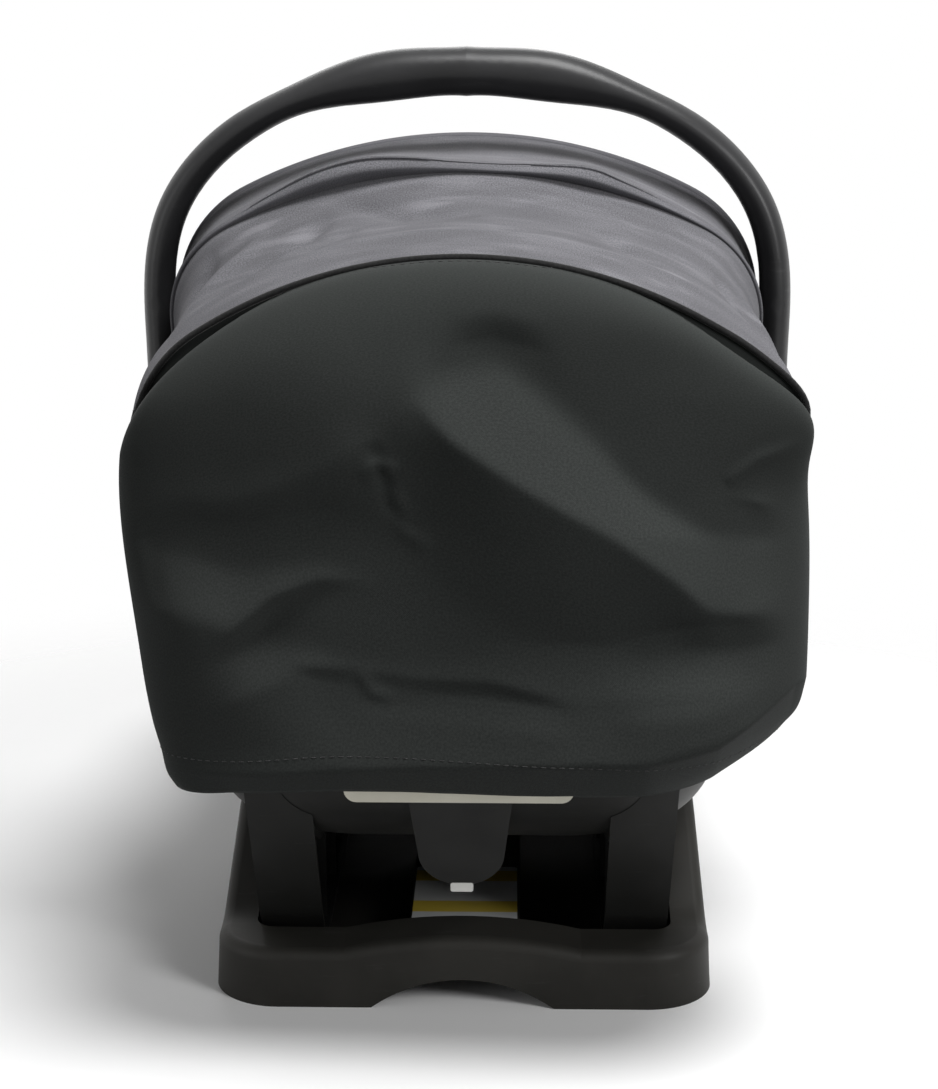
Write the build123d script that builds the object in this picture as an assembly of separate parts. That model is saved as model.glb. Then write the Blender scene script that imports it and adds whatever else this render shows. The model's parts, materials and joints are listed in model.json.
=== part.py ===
from build123d import *
import os
from math import atan2, cos, degrees, pi, radians, sin, sqrt

# Infant car seat: a rear-facing carrier clicked onto its vehicle base.
# Millimetres, +Z up. The origin is the middle of the base's underside, on the surface that it
# stands on. The head end of the seat points to -Y and the foot end to +Y.

os.makedirs("parts", exist_ok=True)

# Clearances
seat_gap = 0.3  # between pieces that rest against each other
run_gap = 0.5  # beside pieces that slide or swing
pin_gap = 0.05  # round hinge pins
overcut = 1.0  # how far cutting bodies and overlaps run past a face
hair = 0.01  # tolerance for picking edges by length

# Base tray
base_length = 470.0
base_width = 340.0
base_corner = 46.0
base_draft = 3.0  # degrees that the outer walls lean in
base_wall = 3.5
rim_height = 40.0  # low edge at the head end
rim_depth = 42.0  # of that edge, from its outer face to the pocket
rim_fillet = 8.0
side_height = 104.0
foot_height = 112.0
rise_start = 62.0  # from the head end to the foot of the rising side walls
rise_run = 95.0
rise_bend = 45.0
rise_top_bend = 55.0
step_start = 150.0  # from the head end of the step up to the foot wall
step_run = 40.0
step_bend = 40.0
pocket_side = 27.0  # side wall, outer face to pocket
pocket_foot = 30.0  # foot wall, outer face to pocket
pocket_corner = 14.0
floor_height = 14.0
plateau_width = 78.0  # raised middle of the floor
plateau_height = 34.0
plateau_round = 6.0
post_radius = 14.0  # round post under the middle of the floor
hand_arch_width = 123.0  # finger arch in the lower head-end edge
hand_arch_rise = 20.0
crest_width = 160.0  # swelling of the rim over the arch
crest_rise = 9.0
rib_thickness = 2.5
cross_rib_places = (0.0, 70.0, 140.0)
belt_slot_length = 46.0  # opening for a vehicle belt in each side wall
belt_slot_height = 22.0
belt_slot_sill = 44.0
belt_slot_place = 178.0
belt_slot_round = 8.0
tunnel_wall = 2.5

# Strike bar that the carrier's pawl hooks
strike_place = -60.0
strike_height = 58.0
strike_radius = 4.0
strike_chamfer = 0.8
ear_thickness = 7.0
ear_spread = 36.0  # outside to outside
ear_round = 11.0

# Flip-out recline foot under the head end
foot_plate_width = 190.0
foot_plate_reach = 150.0
foot_plate_thickness = 5.0
foot_plate_lift = 1.5  # above the ground when folded
foot_plate_round = 24.0
foot_rib_setback = 30.0  # of the thicker middle from the plate's tip
foot_bay_gap = 4.0  # between the plate and the ribs round it
foot_hinge_place = -30.0
foot_hinge_radius = 2.5
foot_knuckle_radius = 4.0
foot_lug_thickness = 8.0

# Level window on the right side wall
vial_length = 38.0
vial_width = 13.0
vial_height = 5.0
vial_sink = 1.5
vial_place = 40.0
vial_inset = 2.0  # from the middle of the side wall
vial_round = 4.0

# Lower anchor strap, stowed on the pocket floor at the foot end
web_width = 38.0
web_thickness = 1.6
anchor_web_width = 26.0
anchor_wall_gap = 8.0  # between a connector's tip and the side of the pocket
anchor_strap_place = 178.0
connector_length = 60.0
connector_width = 26.0
connector_height = 12.0
connector_mouth = 9.0
connector_throat = 34.0
connector_round = 6.0
connector_bridge = 3.0  # between the throat and the button
anchor_button_length = 14.0
anchor_button_width = 10.0
anchor_button_proud = 2.0
anchor_button_travel = 1.5

# Carrier shell
shell_floor = 95.0
shell_top = 410.0
shell_wall = 3.5
shell_power = 3.2  # fullness of the curve from the floor into the head end and the sides
foot_power = 2.0  # the same at the foot end, which slopes up more gently
shell_shares = (0.01, 0.05, 0.13, 0.26, 0.45, 0.7, 1.0)  # heights of the shell's sections
head_floor_end = -60.0
head_rim_end = -314.0
foot_floor_end = 140.0
foot_rim_end = 318.0
floor_half_width = 96.0
rim_half_width = 186.0
floor_corner = 60.0
rim_corner = 92.0
rim_mid_place = -60.0
rim_mid_height = 372.0
rim_front_place = 120.0
rim_front_height = 318.0
rim_foot_height = 285.0
rim_flat_end = -220.0
rim_bend = 120.0
flange_reach = 8.0
flange_depth = 8.0

# Rocker rails under the carrier
rail_inside = 97.0
rail_outside = 140.0
rail_wall = 4.0
rail_head_top = -287.0
rail_head_rise = 105.0  # of the head end's top over the shell's floor
rail_head_foot = -191.0
rail_heel_height = 48.0
rail_flat_start = -160.0
rail_flat_end = 105.0
rail_toe_foot = 145.0
rail_toe_height = 62.0
rail_toe_top = 183.0
rail_toe_rise = 45.0
rail_bend = 40.0
rail_rib_setback = 3.0
rail_collar_flare = 8.0  # lip round the head end's top
rail_collar_height = 22.0
rail_collar_length = 44.0
rail_rib_places = (-120.0, -40.0, 40.0)
rail_screw_places = (-40.0, 60.0)
screw_radius = 2.5
screw_head_radius = 5.0
screw_head_height = 3.0
screw_length = 14.0

# Release lever and its chute at the head end
bracket_half_width = 70.0
bracket_bottom = 198.0
bracket_top = 238.0
bracket_face = -316.0
bracket_back = -254.0
lever_width = 142.0
lever_bottom = 177.0
lever_top = 236.0
lever_thickness = 5.0
lever_corner = 8.0
lever_lip_depth = 19.0
lever_lip_height = 5.0
lever_travel = 12.0
lever_stem_place = 42.0
lever_stem_width = 10.0
lever_stem_height = 8.0
lever_stem_rise = 30.0  # from the lever's bottom to the stems
lever_stem_length = 14.0
chute_top_width = 72.0
chute_waist_width = 56.0
chute_top = 192.0
chute_waist = 116.0
chute_tip = 90.0
chute_face_top = -300.0
chute_face_slope = 0.60  # how far the face runs back per millimetre down
chute_depth = 34.0
chute_run_out = 10.0  # past the tip, trimmed by the front outline
chute_bracket_gap = 2.0
guide_width = 15.0
guide_height = 6.0
guide_depth = 8.0
guide_proud = 2.0
guide_drop = 1.0
guide_round = 1.5

# Pawl under the shell
pawl_pivot_place = -46.0
pawl_pivot_height = 80.0
pawl_width = 16.0
pawl_pin_radius = 3.0
pawl_eye_radius = 7.0
hook_setback = 1.0  # of the hook's tip from the far side of the strike bar
hook_floor_gap = 4.0
hook_shoulder = 8.0  # where the blade clears the bar, over the bar's middle
hook_heel = 3.0
pawl_arm = 9.0
clevis_thickness = 5.0
clevis_plate = 4.0
clevis_half_length = 12.0

# Carry handle
handle_half_width = 222.0
handle_top = 630.0
handle_spring = 470.0  # height where the arms start to bend in
handle_power = 2.18
arm_thickness = 21.0
arm_depth = 38.0
shoulder_thickness = 20.5
grip_thickness = 33.0
grip_depth = 37.0
grip_half_length = 115.0
grip_blend = 50.0  # over which the arch swells into the grip
arch_turns = (2, 18, 33, 47, 58, 67, 75, 83, 90, 97)  # degrees from the right arm
pivot_place = -88.0
pivot_height = 300.0
hub_radius = 38.0
hub_width = 32.0
hub_round = 5.0
hub_web = 4.0
hub_cap = 8.0
hub_cavity_radius = 26.0
boss_radius = 30.0
pin_radius = 8.0
pin_head_radius = 13.0
pin_head_height = 3.0
pin_bore_reach = 9.0  # of the pin's bores to both sides of a wall
button_radius = 17.0
button_flange_radius = 21.0
button_flange = 3.0
button_proud = 3.0
button_round = 1.5
spring_wire = 1.2
spring_radius = 9.0
spring_turns = 4

# Hood
hood_pivot_place = -96.0
hood_pivot_height = 396.0
hood_half_width = 199.0
hood_cloth = 2.0
hood_rise = 110.0
hood_corner = 80.0
mid_tilt = 20.0  # degrees back from upright
mid_leg = 55.0
front_tilt = -18.0
front_leg = 72.0
fold_step = 5.0  # the front cloth stands this far over the rear cloth at the mid bow
hood_sag = 9.0
cloth_leg_cut = 10.0  # the cloth stops this far above the pivots
bow_radius = 1.7
bow_eye_radius = 7.0
bow_eye_thickness = 3.6
hood_pin_radius = 3.0
hood_bracket_width = 32.0
hood_bracket_thickness = 9.0
hood_bracket_grip = 14.0
hood_bracket_stand = 1.0  # of its outer face past the shell's side
seam_turn = 0.6  # degrees that each cloth stops short of the mid bow's plane
panel_edge = -252.0  # where the back panel meets the hood, at the piping
panel_half_width = 211.0
panel_spring = 385.0
panel_top = 504.0
panel_corner = 84.0
panel_low_half = 198.0
panel_low = 222.0
panel_floor_half = 150.0
panel_floor = 150.0
panel_hem = 189.0
panel_face = -335.0
panel_centre = 275.0
panel_power = 3.4  # fullness of the panel's bulge
# Main folds of the loose panel: (x, z) of both ends, girth, height over the face
panel_folds = (
    ((-20.0, 400.0), (128.0, 278.0), 80.0, 9.0),
    ((-150.0, 330.0), (-15.0, 300.0), 50.0, 7.0),
    ((-120.0, 252.0), (100.0, 240.0), 44.0, 7.0),
)
fold_fade = 1.6  # a fold's ends sink into the face by this share of its height
panel_shares = (1.0, 0.97, 0.9, 0.8, 0.65, 0.45, 0.25)  # sizes of the panel's sections
rear_bow_radius = 2.5
rear_bow_foot = 24.0
rear_bow_foot_depth = 8.0

# Padding, on a back slope and a seat slope that meet at the bight
bight_place = 60.0
bight_height = 140.0
back_slope = 36.0
back_length = 400.0
seat_slope = 10.0
seat_length = 190.0
foam_thickness = 26.0
foam_web = 18.0
foam_web_place = 62.0
foam_half_width = 165.0
pad_thickness = 20.0
pad_crown = 5.0
pad_half_width = 122.0
pad_draw_in = 7.0
pad_edge = 7.0
back_pad_start = 24.0
back_pad_end = 384.0
seat_pad_start = 24.0
seat_pad_end = 140.0
back_channels = 4
seat_channels = 2
channel_depth = 3.0
pad_end_drop = 6.0
cell_shares = (0.0, 0.22, 0.5, 0.78)  # places of a padded cell's sections
liner_thickness = 17.0
liner_foot_end = 205.0
liner_drop = 6.0

# Harness
slot_place = 96.0  # shoulder slots, down the back slope
slot_spread = 104.0
slot_width = 44.0
slot_gap = 6.0
strap_low_place = 292.0
strap_low_spread = 62.0
hip_place = 322.0
hip_spread = 206.0
clip_place = 176.0
clip_length = 40.0
clip_width = 118.0
clip_height = 8.0
clip_round = 3.0
buckle_place = 314.0
buckle_length = 58.0
buckle_width = 46.0
buckle_height = 17.0
buckle_round = 7.0
buckle_button_start = 24.0
buckle_button_length = 22.0
buckle_button_width = 26.0
buckle_button_depth = 8.0
buckle_button_proud = 1.5
buckle_button_travel = 4.0
tongue_thickness = 3.0
tongue_length = 30.0
tongue_width = 20.0
tongue_parting = 0.5  # of each tongue from the middle
tongue_lift = 5.0
tongue_insert = 12.0
tongue_bar = 4.0
crotch_slot_place = 78.0
crotch_bend = 6.0
crotch_bend_rise = 3.0
adjuster_place = 146.0
adjuster_length = 34.0
adjuster_width = 52.0
adjuster_height = 9.0
adjuster_round = 5.0
adjuster_cheek = 9.0
adjuster_button_start = 4.0
adjuster_button_length = 16.0
adjuster_button_proud = 2.0
adjuster_button_travel = 4.0
tail_width = 25.0
tail_length = 8.0
tail_bridge = 3.0

head_end = -base_length / 2
foot_end = base_length / 2
hub_inside = handle_half_width - hub_width
hood_bracket_outside = rim_half_width + hood_bracket_stand


def save(name, *shapes):
    """Write one node, made of one or more solids."""
    solids = [solid for shape in shapes for solid in shape.solids()]
    node = solids[0] if len(solids) == 1 else Compound(children=solids)
    export_step(node, f"parts/{name}.step")


def slab(x_range, y_range, z_range):
    """Box between two limits on each axis."""
    lows = [min(pair) for pair in (x_range, y_range, z_range)]
    sizes = [abs(pair[1] - pair[0]) for pair in (x_range, y_range, z_range)]
    return Pos(*lows) * Box(*sizes, align=(Align.MIN, Align.MIN, Align.MIN))


def side_profile(points, radii, half_width):
    """Prism of a side outline, given as (y, z) points, that reaches half_width to both sides."""
    outline = make_face(FilletPolyline(*points, radius=radii, close=True))
    return extrude(Plane.YZ * outline, half_width, both=True)


def plain_profile(points, x_low, x_high):
    """Prism of a straight-edged side outline between two widths."""
    outline = make_face(Polyline(*points, close=True))
    return Pos(x_low, 0, 0) * extrude(Plane.YZ * outline, x_high - x_low)


def cross_rod(radius, x_low, x_high, place, height):
    """Rod along X."""
    rod = Cylinder(radius, x_high - x_low, rotation=(0, 90, 0))
    return Pos((x_low + x_high) / 2, place, height) * rod


def both_sides(piece):
    """A right-hand piece and its mirror image."""
    return piece, mirror(piece, about=Plane.YZ)


# Base tray

def base_outer(inset):
    """Outer form of the base, drawn in by inset on every side but the underside."""
    plan = RectangleRounded(base_width - 2 * inset, base_length - 2 * inset, base_corner - inset)
    block = extrude(plan, foot_height - inset, taper=base_draft)
    beyond = 20.0
    top_line = [
        (head_end - beyond, rim_height - inset),
        (head_end + rise_start, rim_height - inset),
        (head_end + rise_start + rise_run, side_height - inset),
        (step_start, side_height - inset),
        (step_start + step_run, foot_height - inset),
        (foot_end + beyond, foot_height - inset),
        (foot_end + beyond, -beyond),
        (head_end - beyond, -beyond),
    ]
    bends = [overcut, rise_bend, rise_top_bend, step_bend, step_bend] + 3 * [overcut]
    walls = block & side_profile(top_line, bends, base_width)
    crest_radius = (crest_width**2 / 4 + crest_rise**2) / (2 * crest_rise)
    crest = Cylinder(crest_radius - inset, rim_depth, rotation=(90, 0, 0))
    crest_middle = (0, head_end + rim_depth / 2, rim_height + crest_rise - crest_radius)
    return walls, block & (Pos(*crest_middle) * crest)


def rounded_rim(walls, crest):
    """Round the outer top edges of the base."""

    def outer_top(edge):
        middle = edge @ 0.5
        along = edge % 0.5
        crossing = abs(along.X) > 0.99 and abs(middle.Y) < foot_end - base_corner / 2
        return middle.Z > rim_height / 2 and abs(along.Z) < 0.8 and not crossing

    walls = fillet(walls.edges().filter_by(outer_top), rim_fillet)
    lip = crest.edges().filter_by(lambda edge: (edge @ 0.5).Z > rim_height)
    lip = lip.filter_by(lambda edge: (edge @ 0.5).Y < head_end + rim_depth / 2)
    return walls + fillet(lip, rim_fillet)


def tray_pocket(grow):
    """Hollow that the rocker rails stand in, with the raised middle of its floor left out."""
    near = head_end + rim_depth - grow
    far = foot_end - pocket_foot + grow
    plan = RectangleRounded(
        base_width - 2 * pocket_side + 2 * grow, far - near, pocket_corner + grow
    )
    well = Pos(0, (near + far) / 2, floor_height - grow) * extrude(plan, foot_height)
    middle = slab(
        (-plateau_width / 2 + grow, plateau_width / 2 - grow),
        (near - overcut, far + overcut),
        (0, plateau_height - grow),
    )
    shoulders = middle.edges().filter_by(Axis.Y).group_by(Axis.Z)[-1]
    return well - fillet(shoulders, plateau_round - grow)


def base_tray():
    walls, crest = base_outer(0)
    outer = rounded_rim(walls, crest)
    inner_walls, inner_crest = base_outer(base_wall)
    cavity = inner_walls + inner_crest - tray_pocket(base_wall)
    tray = outer - tray_pocket(0) - cavity

    # Finger arch with its own skin
    arch_radius = (hand_arch_width**2 / 4 + hand_arch_rise**2) / (2 * hand_arch_rise)
    arch_middle = Pos(0, head_end + rim_depth / 2, hand_arch_rise - arch_radius)
    arch_void = arch_middle * Cylinder(arch_radius, rim_depth + 2 * overcut, rotation=(90, 0, 0))
    arch_form = arch_middle * Cylinder(arch_radius + base_wall, rim_depth, rotation=(90, 0, 0))
    tray = tray + (arch_form & cavity) - arch_void

    # Ribs under the floor and in the walls, clear of the recline foot
    under_floor = floor_height - base_wall
    foot_bay = slab(
        (-foot_plate_width / 2 - foot_bay_gap, foot_plate_width / 2 + foot_bay_gap),
        (
            foot_hinge_place - foot_plate_reach - foot_bay_gap,
            foot_hinge_place + foot_knuckle_radius + foot_bay_gap / 2,
        ),
        (-overcut, under_floor),
    )
    far = foot_end - pocket_foot
    ribs = slab((-rib_thickness / 2, rib_thickness / 2), (0, far), (0, plateau_height))
    for place in cross_rib_places:
        rib_range = (place - rib_thickness / 2, place + rib_thickness / 2)
        ribs += slab((-base_width / 2, base_width / 2), rib_range, (0, side_height))
    ribs += Cylinder(post_radius, plateau_height, align=(Align.CENTER, Align.CENTER, Align.MIN))
    tray += (ribs & cavity) - foot_bay

    # Belt tunnels
    for side in (-1, 1):
        wall_inside = base_width / 2 - pocket_side - overcut
        wall_range = (side * wall_inside, side * (base_width / 2 + overcut))
        near = belt_slot_place - belt_slot_length / 2
        far = belt_slot_place + belt_slot_length / 2
        top = belt_slot_sill + belt_slot_height
        tunnel = slab(
            wall_range,
            (near - tunnel_wall, far + tunnel_wall),
            (belt_slot_sill - tunnel_wall, top + tunnel_wall),
        )
        tray += tunnel & cavity
        slot = slab(wall_range, (near, far), (belt_slot_sill, top))
        tray -= fillet(slot.edges().filter_by(Axis.X), belt_slot_round)

    # Ears for the strike bar, lugs for the recline foot and a seat for the level window
    for side in (-1, 1):
        ear_range = sorted((side * (ear_spread / 2 - ear_thickness), side * ear_spread / 2))
        tray += slab(
            ear_range,
            (strike_place - ear_round, strike_place + ear_round),
            (plateau_height - overcut, strike_height),
        )
        tray += cross_rod(ear_round, *ear_range, strike_place, strike_height)
    tray -= cross_rod(strike_radius + pin_gap, -ear_spread, ear_spread, strike_place, strike_height)
    hinge_height = foot_plate_lift + foot_knuckle_radius
    for lug_start in foot_lug_places():
        lug = slab(
            (lug_start, lug_start + foot_lug_thickness),
            (foot_hinge_place - foot_knuckle_radius, foot_hinge_place + foot_knuckle_radius),
            (hinge_height, under_floor + overcut),
        )
        lug += cross_rod(
            foot_knuckle_radius,
            lug_start,
            lug_start + foot_lug_thickness,
            foot_hinge_place,
            hinge_height,
        )
        tray += lug
    tray -= cross_rod(
        foot_hinge_radius + pin_gap, -base_width / 2, base_width / 2, foot_hinge_place, hinge_height
    ) & foot_bay
    tray -= vial_block(seat_gap)
    save("base_tray", tray)


def foot_lug_places():
    """Left end of each lug that carries the recline foot's pin."""
    outer = foot_plate_width / 2 - foot_lug_thickness
    return (-outer - foot_lug_thickness, outer)


def vial_block(grow):
    """Level window, sunk into the top of the right side wall."""
    middle = Pos(
        base_width / 2 - pocket_side / 2 - vial_inset,
        vial_place,
        side_height - vial_sink - grow / 2,
    )
    plan = RectangleRounded(vial_width + 2 * grow, vial_length + 2 * grow, vial_round)
    return middle * extrude(plan, vial_height)


def base_fittings():
    save("level_window", vial_block(0))
    bar = cross_rod(strike_radius, -ear_spread / 2, ear_spread / 2, strike_place, strike_height)
    save("strike_bar", chamfer(bar.edges(), strike_chamfer))

    hinge_height = foot_plate_lift + foot_knuckle_radius
    left = -foot_plate_width / 2 + foot_lug_thickness + run_gap
    tip = foot_hinge_place - foot_plate_reach
    plate = slab(
        (-foot_plate_width / 2, foot_plate_width / 2),
        (tip, foot_hinge_place - foot_knuckle_radius - run_gap),
        (foot_plate_lift, foot_plate_lift + foot_plate_thickness),
    )
    plate = fillet(plate.edges().filter_by(Axis.Z).group_by(Axis.Y)[0], foot_plate_round)
    ribs = slab(
        (left, -left),
        (tip + foot_rib_setback, foot_hinge_place),
        (foot_plate_lift, hinge_height),
    )
    knuckle = cross_rod(foot_knuckle_radius, left, -left, foot_hinge_place, hinge_height)
    bore = cross_rod(
        foot_hinge_radius + pin_gap,
        left - overcut,
        overcut - left,
        foot_hinge_place,
        hinge_height,
    )
    save("recline_foot", plate + (ribs - bore) + knuckle - bore)
    save(
        "recline_pin",
        cross_rod(
            foot_hinge_radius,
            -foot_plate_width / 2,
            foot_plate_width / 2,
            foot_hinge_place,
            hinge_height,
        ),
    )


def anchor_set():
    """Strap across the pocket floor with a hook connector at each end."""
    floor = floor_height + seat_gap
    strap_end = base_width / 2 - pocket_side - anchor_wall_gap - connector_length
    strap_range = (
        anchor_strap_place - anchor_web_width / 2,
        anchor_strap_place + anchor_web_width / 2,
    )
    strap_level = plateau_height + seat_gap
    strap = slab(
        (-strap_end, strap_end),
        strap_range,
        (strap_level, strap_level + web_thickness),
    )
    drop = slab(
        (strap_end - web_thickness, strap_end),
        strap_range,
        (floor + connector_height / 2, strap_level + web_thickness),
    )
    save("anchor_strap", strap + drop + mirror(drop, about=Plane.YZ))
    near = anchor_strap_place - connector_width / 2
    body = slab(
        (strap_end + seat_gap, strap_end + seat_gap + connector_length),
        (near, near + connector_width),
        (floor, floor + connector_height),
    )
    body = fillet(body.edges().filter_by(Axis.Z), connector_round)
    throat_end = strap_end + connector_length - connector_throat
    mouth = slab(
        (throat_end, strap_end + connector_length + 2 * overcut),
        (anchor_strap_place - connector_mouth / 2, anchor_strap_place + connector_mouth / 2),
        (floor - overcut, floor + connector_height + overcut),
    )
    button_middle = throat_end - connector_bridge - anchor_button_length / 2
    button_top = floor + connector_height + anchor_button_proud
    button_floor = floor + connector_height / 2

    def button(grow, low):
        return slab(
            (
                button_middle - anchor_button_length / 2 - grow,
                button_middle + anchor_button_length / 2 + grow,
            ),
            (
                anchor_strap_place - anchor_button_width / 2 - grow,
                anchor_strap_place + anchor_button_width / 2 + grow,
            ),
            (low, button_top),
        )

    well = button(seat_gap, button_floor - anchor_button_travel - seat_gap)
    for name, piece in zip(("right", "left"), both_sides(body - mouth - well)):
        save(f"anchor_connector_{name}", piece)
    for name, piece in zip(("right", "left"), both_sides(button(0, button_floor))):
        save(f"anchor_button_{name}", piece)


# Carrier shell

def swell(share, power):
    """Fullness of the shell between its floor, 0, and its rim, 1."""
    return (1 - (1 - share) ** power) ** (1 / power)


def between(low, high, share):
    return low + (high - low) * share


def shell_form(inset):
    """Solid bucket, drawn in by inset: rounded rectangles that swell from the floor to the rim."""
    sections = []
    for share in shell_shares:
        full = swell(share, shell_power)
        head = between(head_floor_end, head_rim_end, full) + inset
        foot = between(foot_floor_end, foot_rim_end, swell(share, foot_power)) - inset
        half = between(floor_half_width, rim_half_width, full) - inset
        corner = between(floor_corner, rim_corner, full) - inset
        height = between(shell_floor + inset, shell_top, share)
        plan = RectangleRounded(2 * half, foot - head, corner)
        sections.append(Pos(0, (head + foot) / 2, height) * plan)
    return loft(sections)


def above_rim(drop):
    """Space above the shell's rim line, lowered by drop."""
    beyond = 40.0
    line = [
        (head_rim_end - beyond, shell_top - drop),
        (rim_flat_end, shell_top - drop),
        (rim_mid_place, rim_mid_height - drop),
        (rim_front_place, rim_front_height - drop),
        (foot_rim_end + beyond, rim_foot_height - drop),
        (foot_rim_end + beyond, shell_top + beyond),
        (head_rim_end - beyond, shell_top + beyond),
    ]
    bends = [overcut, rim_bend, rim_bend, rim_bend] + 3 * [overcut]
    return side_profile(line, bends, 2 * rim_half_width)


def shell_half_width(height):
    """Outer half width of the shell at a height."""
    share = (height - shell_floor) / (shell_top - shell_floor)
    return between(floor_half_width, rim_half_width, swell(share, shell_power))


def shell_underside():
    """Height of the shell's flat underside."""
    return between(shell_floor, shell_top, shell_shares[0])


def carrier_shell():
    outer = shell_form(0)
    shell = outer - shell_form(shell_wall)
    flange = (shell_form(-flange_reach) - outer) & above_rim(flange_depth)
    shell = shell + flange - above_rim(0)
    wall = shell_half_width(pivot_height - boss_radius)
    for side in (-1, 1):
        low, high = sorted((side * (wall - shell_wall / 2), side * (hub_inside - run_gap)))
        shell += cross_rod(boss_radius, low, high, pivot_place, pivot_height)
        shell -= cross_rod(
            pin_radius, low - pin_bore_reach, high + pin_bore_reach, pivot_place, pivot_height
        )
    carrier = slab(
        (-bracket_half_width, bracket_half_width),
        (bracket_face, bracket_back),
        (bracket_bottom, bracket_top),
    )
    for side in (-1, 1):
        carrier -= lever_stem(side, run_gap, lever_travel + run_gap)
    shell += carrier - shell_form(shell_wall / 2)
    for screw_hole in rail_screws(pin_gap):
        shell -= screw_hole
    return shell


def lever_stem(side, grow, travel):
    """Stem that guides the release lever, or the slot that it runs in."""
    middle = side * lever_stem_place
    low = lever_bottom + lever_stem_rise
    return slab(
        (middle - lever_stem_width / 2 - grow, middle + lever_stem_width / 2 + grow),
        (bracket_face - overcut, bracket_face + lever_stem_length + grow),
        (low - grow, low + lever_stem_height + travel),
    )


def rail_outline():
    """Side outline of a rocker rail, up into the shell."""
    floor = floor_height + seat_gap
    return [
        (rail_head_top, shell_floor + rail_head_rise),
        (rail_head_foot, rail_heel_height),
        (rail_flat_start, floor),
        (rail_flat_end, floor),
        (rail_toe_foot, rail_toe_height),
        (rail_toe_top, shell_floor + rail_toe_rise),
    ]


def rocker_rail():
    """Right rocker rail: a ribbed channel, open to the middle, cut to the shell's underside."""
    bends = [overcut, rail_bend, rail_bend, rail_bend, rail_bend, overcut]
    outline = make_face(FilletPolyline(*rail_outline(), radius=bends, close=True))
    body = Pos(rail_inside, 0, 0) * extrude(Plane.YZ * outline, rail_outside - rail_inside)
    core = Plane.YZ * offset(outline, -rail_wall)
    hollow_depth = rail_outside - rail_inside + overcut - rail_wall
    hollow = Pos(rail_inside - overcut, 0, 0) * extrude(core, hollow_depth)
    hollow -= shell_form(-seat_gap - rail_wall)
    for place in rail_rib_places:
        hollow -= slab(
            (rail_inside + rail_rib_setback, rail_outside),
            (place - rib_thickness / 2, place + rib_thickness / 2),
            (0, shell_top),
        )
    head_top = shell_floor + rail_head_rise
    slope = (rail_head_foot - rail_head_top) / (head_top - rail_heel_height)
    lip_low = head_top - rail_collar_height
    lip_start = rail_head_top + slope * rail_collar_height
    lip = plain_profile(
        [
            (rail_head_top, head_top),
            (lip_start, lip_low),
            (lip_start + rail_collar_length, lip_low),
            (rail_head_top + rail_collar_length, head_top),
        ],
        rail_outside - overcut,
        rail_outside + rail_collar_flare,
    )
    under_lip = lip.edges().filter_by(Axis.Y).group_by(Axis.Z)[0].sort_by(Axis.X)[-1]
    body += chamfer(under_lip, rail_collar_flare - overcut)
    body = body - shell_form(-seat_gap) - hollow
    for screw in rail_screws(0):
        body -= screw
    return body


def rail_screws(grow):
    """Screws through the shell's floor into the tops of both rails."""
    screws = []
    middle = (rail_inside + floor_half_width) / 2
    seat = shell_underside() + shell_wall
    for side in (-1, 1):
        for place in rail_screw_places:
            shank = Cylinder(
                screw_radius + grow, screw_length, align=(Align.CENTER, Align.CENTER, Align.MAX)
            )
            head = Cylinder(
                screw_head_radius,
                screw_head_height,
                align=(Align.CENTER, Align.CENTER, Align.MIN),
            )
            screws.append(Pos(side * middle, place, seat) * (shank + head))
    return screws


def release_set():
    """Lever, chute, cable guide and the pawl that hooks the strike bar."""
    face = bracket_face - seat_gap
    plate = slab(
        (-lever_width / 2, lever_width / 2),
        (face - lever_thickness, face),
        (lever_bottom, lever_top),
    )
    plate = fillet(plate.edges().filter_by(Axis.Y), lever_corner)
    lip = slab(
        (lever_corner - lever_width / 2, lever_width / 2 - lever_corner),
        (face - lever_thickness, face - lever_thickness + lever_lip_depth),
        (lever_bottom, lever_bottom + lever_lip_height),
    )
    lever = plate + lip
    for side in (-1, 1):
        lever += lever_stem(side, 0, 0)
    save("release_lever", lever)

    chute_low = chute_tip - chute_run_out
    depth_low = chute_face_top + chute_face_slope * (chute_top - chute_low)
    side_view = plain_profile(
        [
            (chute_face_top, chute_top),
            (depth_low, chute_low),
            (depth_low + chute_depth, chute_low),
            (chute_face_top + chute_depth, chute_top),
        ],
        -chute_top_width,
        chute_top_width,
    )
    waist = chute_waist_width / 2
    front_view = make_face(
        [
            Line((-waist, chute_waist), (-chute_top_width / 2, chute_top)),
            Line((-chute_top_width / 2, chute_top), (chute_top_width / 2, chute_top)),
            Line((chute_top_width / 2, chute_top), (waist, chute_waist)),
            ThreePointArc((waist, chute_waist), (0, chute_tip), (-waist, chute_waist)),
        ]
    )
    chute = side_view & extrude(Plane.XZ * front_view, 2 * base_length, both=True)
    chute = chute - shell_form(-seat_gap)
    chute -= slab(
        (-lever_width / 2, lever_width / 2),
        (-base_length, face + lever_lip_depth + run_gap),
        (lever_bottom - run_gap, shell_top),
    )
    chute -= slab(
        (-lever_width / 2, lever_width / 2),
        (-base_length, 0),
        (bracket_bottom - chute_bracket_gap, shell_top),
    )
    tip_face = chute_face_top + chute_face_slope * (chute_top - chute_tip)
    guide = slab(
        (-guide_width / 2, guide_width / 2),
        (tip_face - guide_proud, tip_face + guide_depth),
        (chute_tip - guide_drop - guide_height / 2, chute_tip - guide_drop + guide_height / 2),
    )
    guide = fillet(guide.edges().filter_by(Axis.Y), guide_round)
    save("release_chute", chute - guide)
    save("cable_guide", guide)


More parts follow.
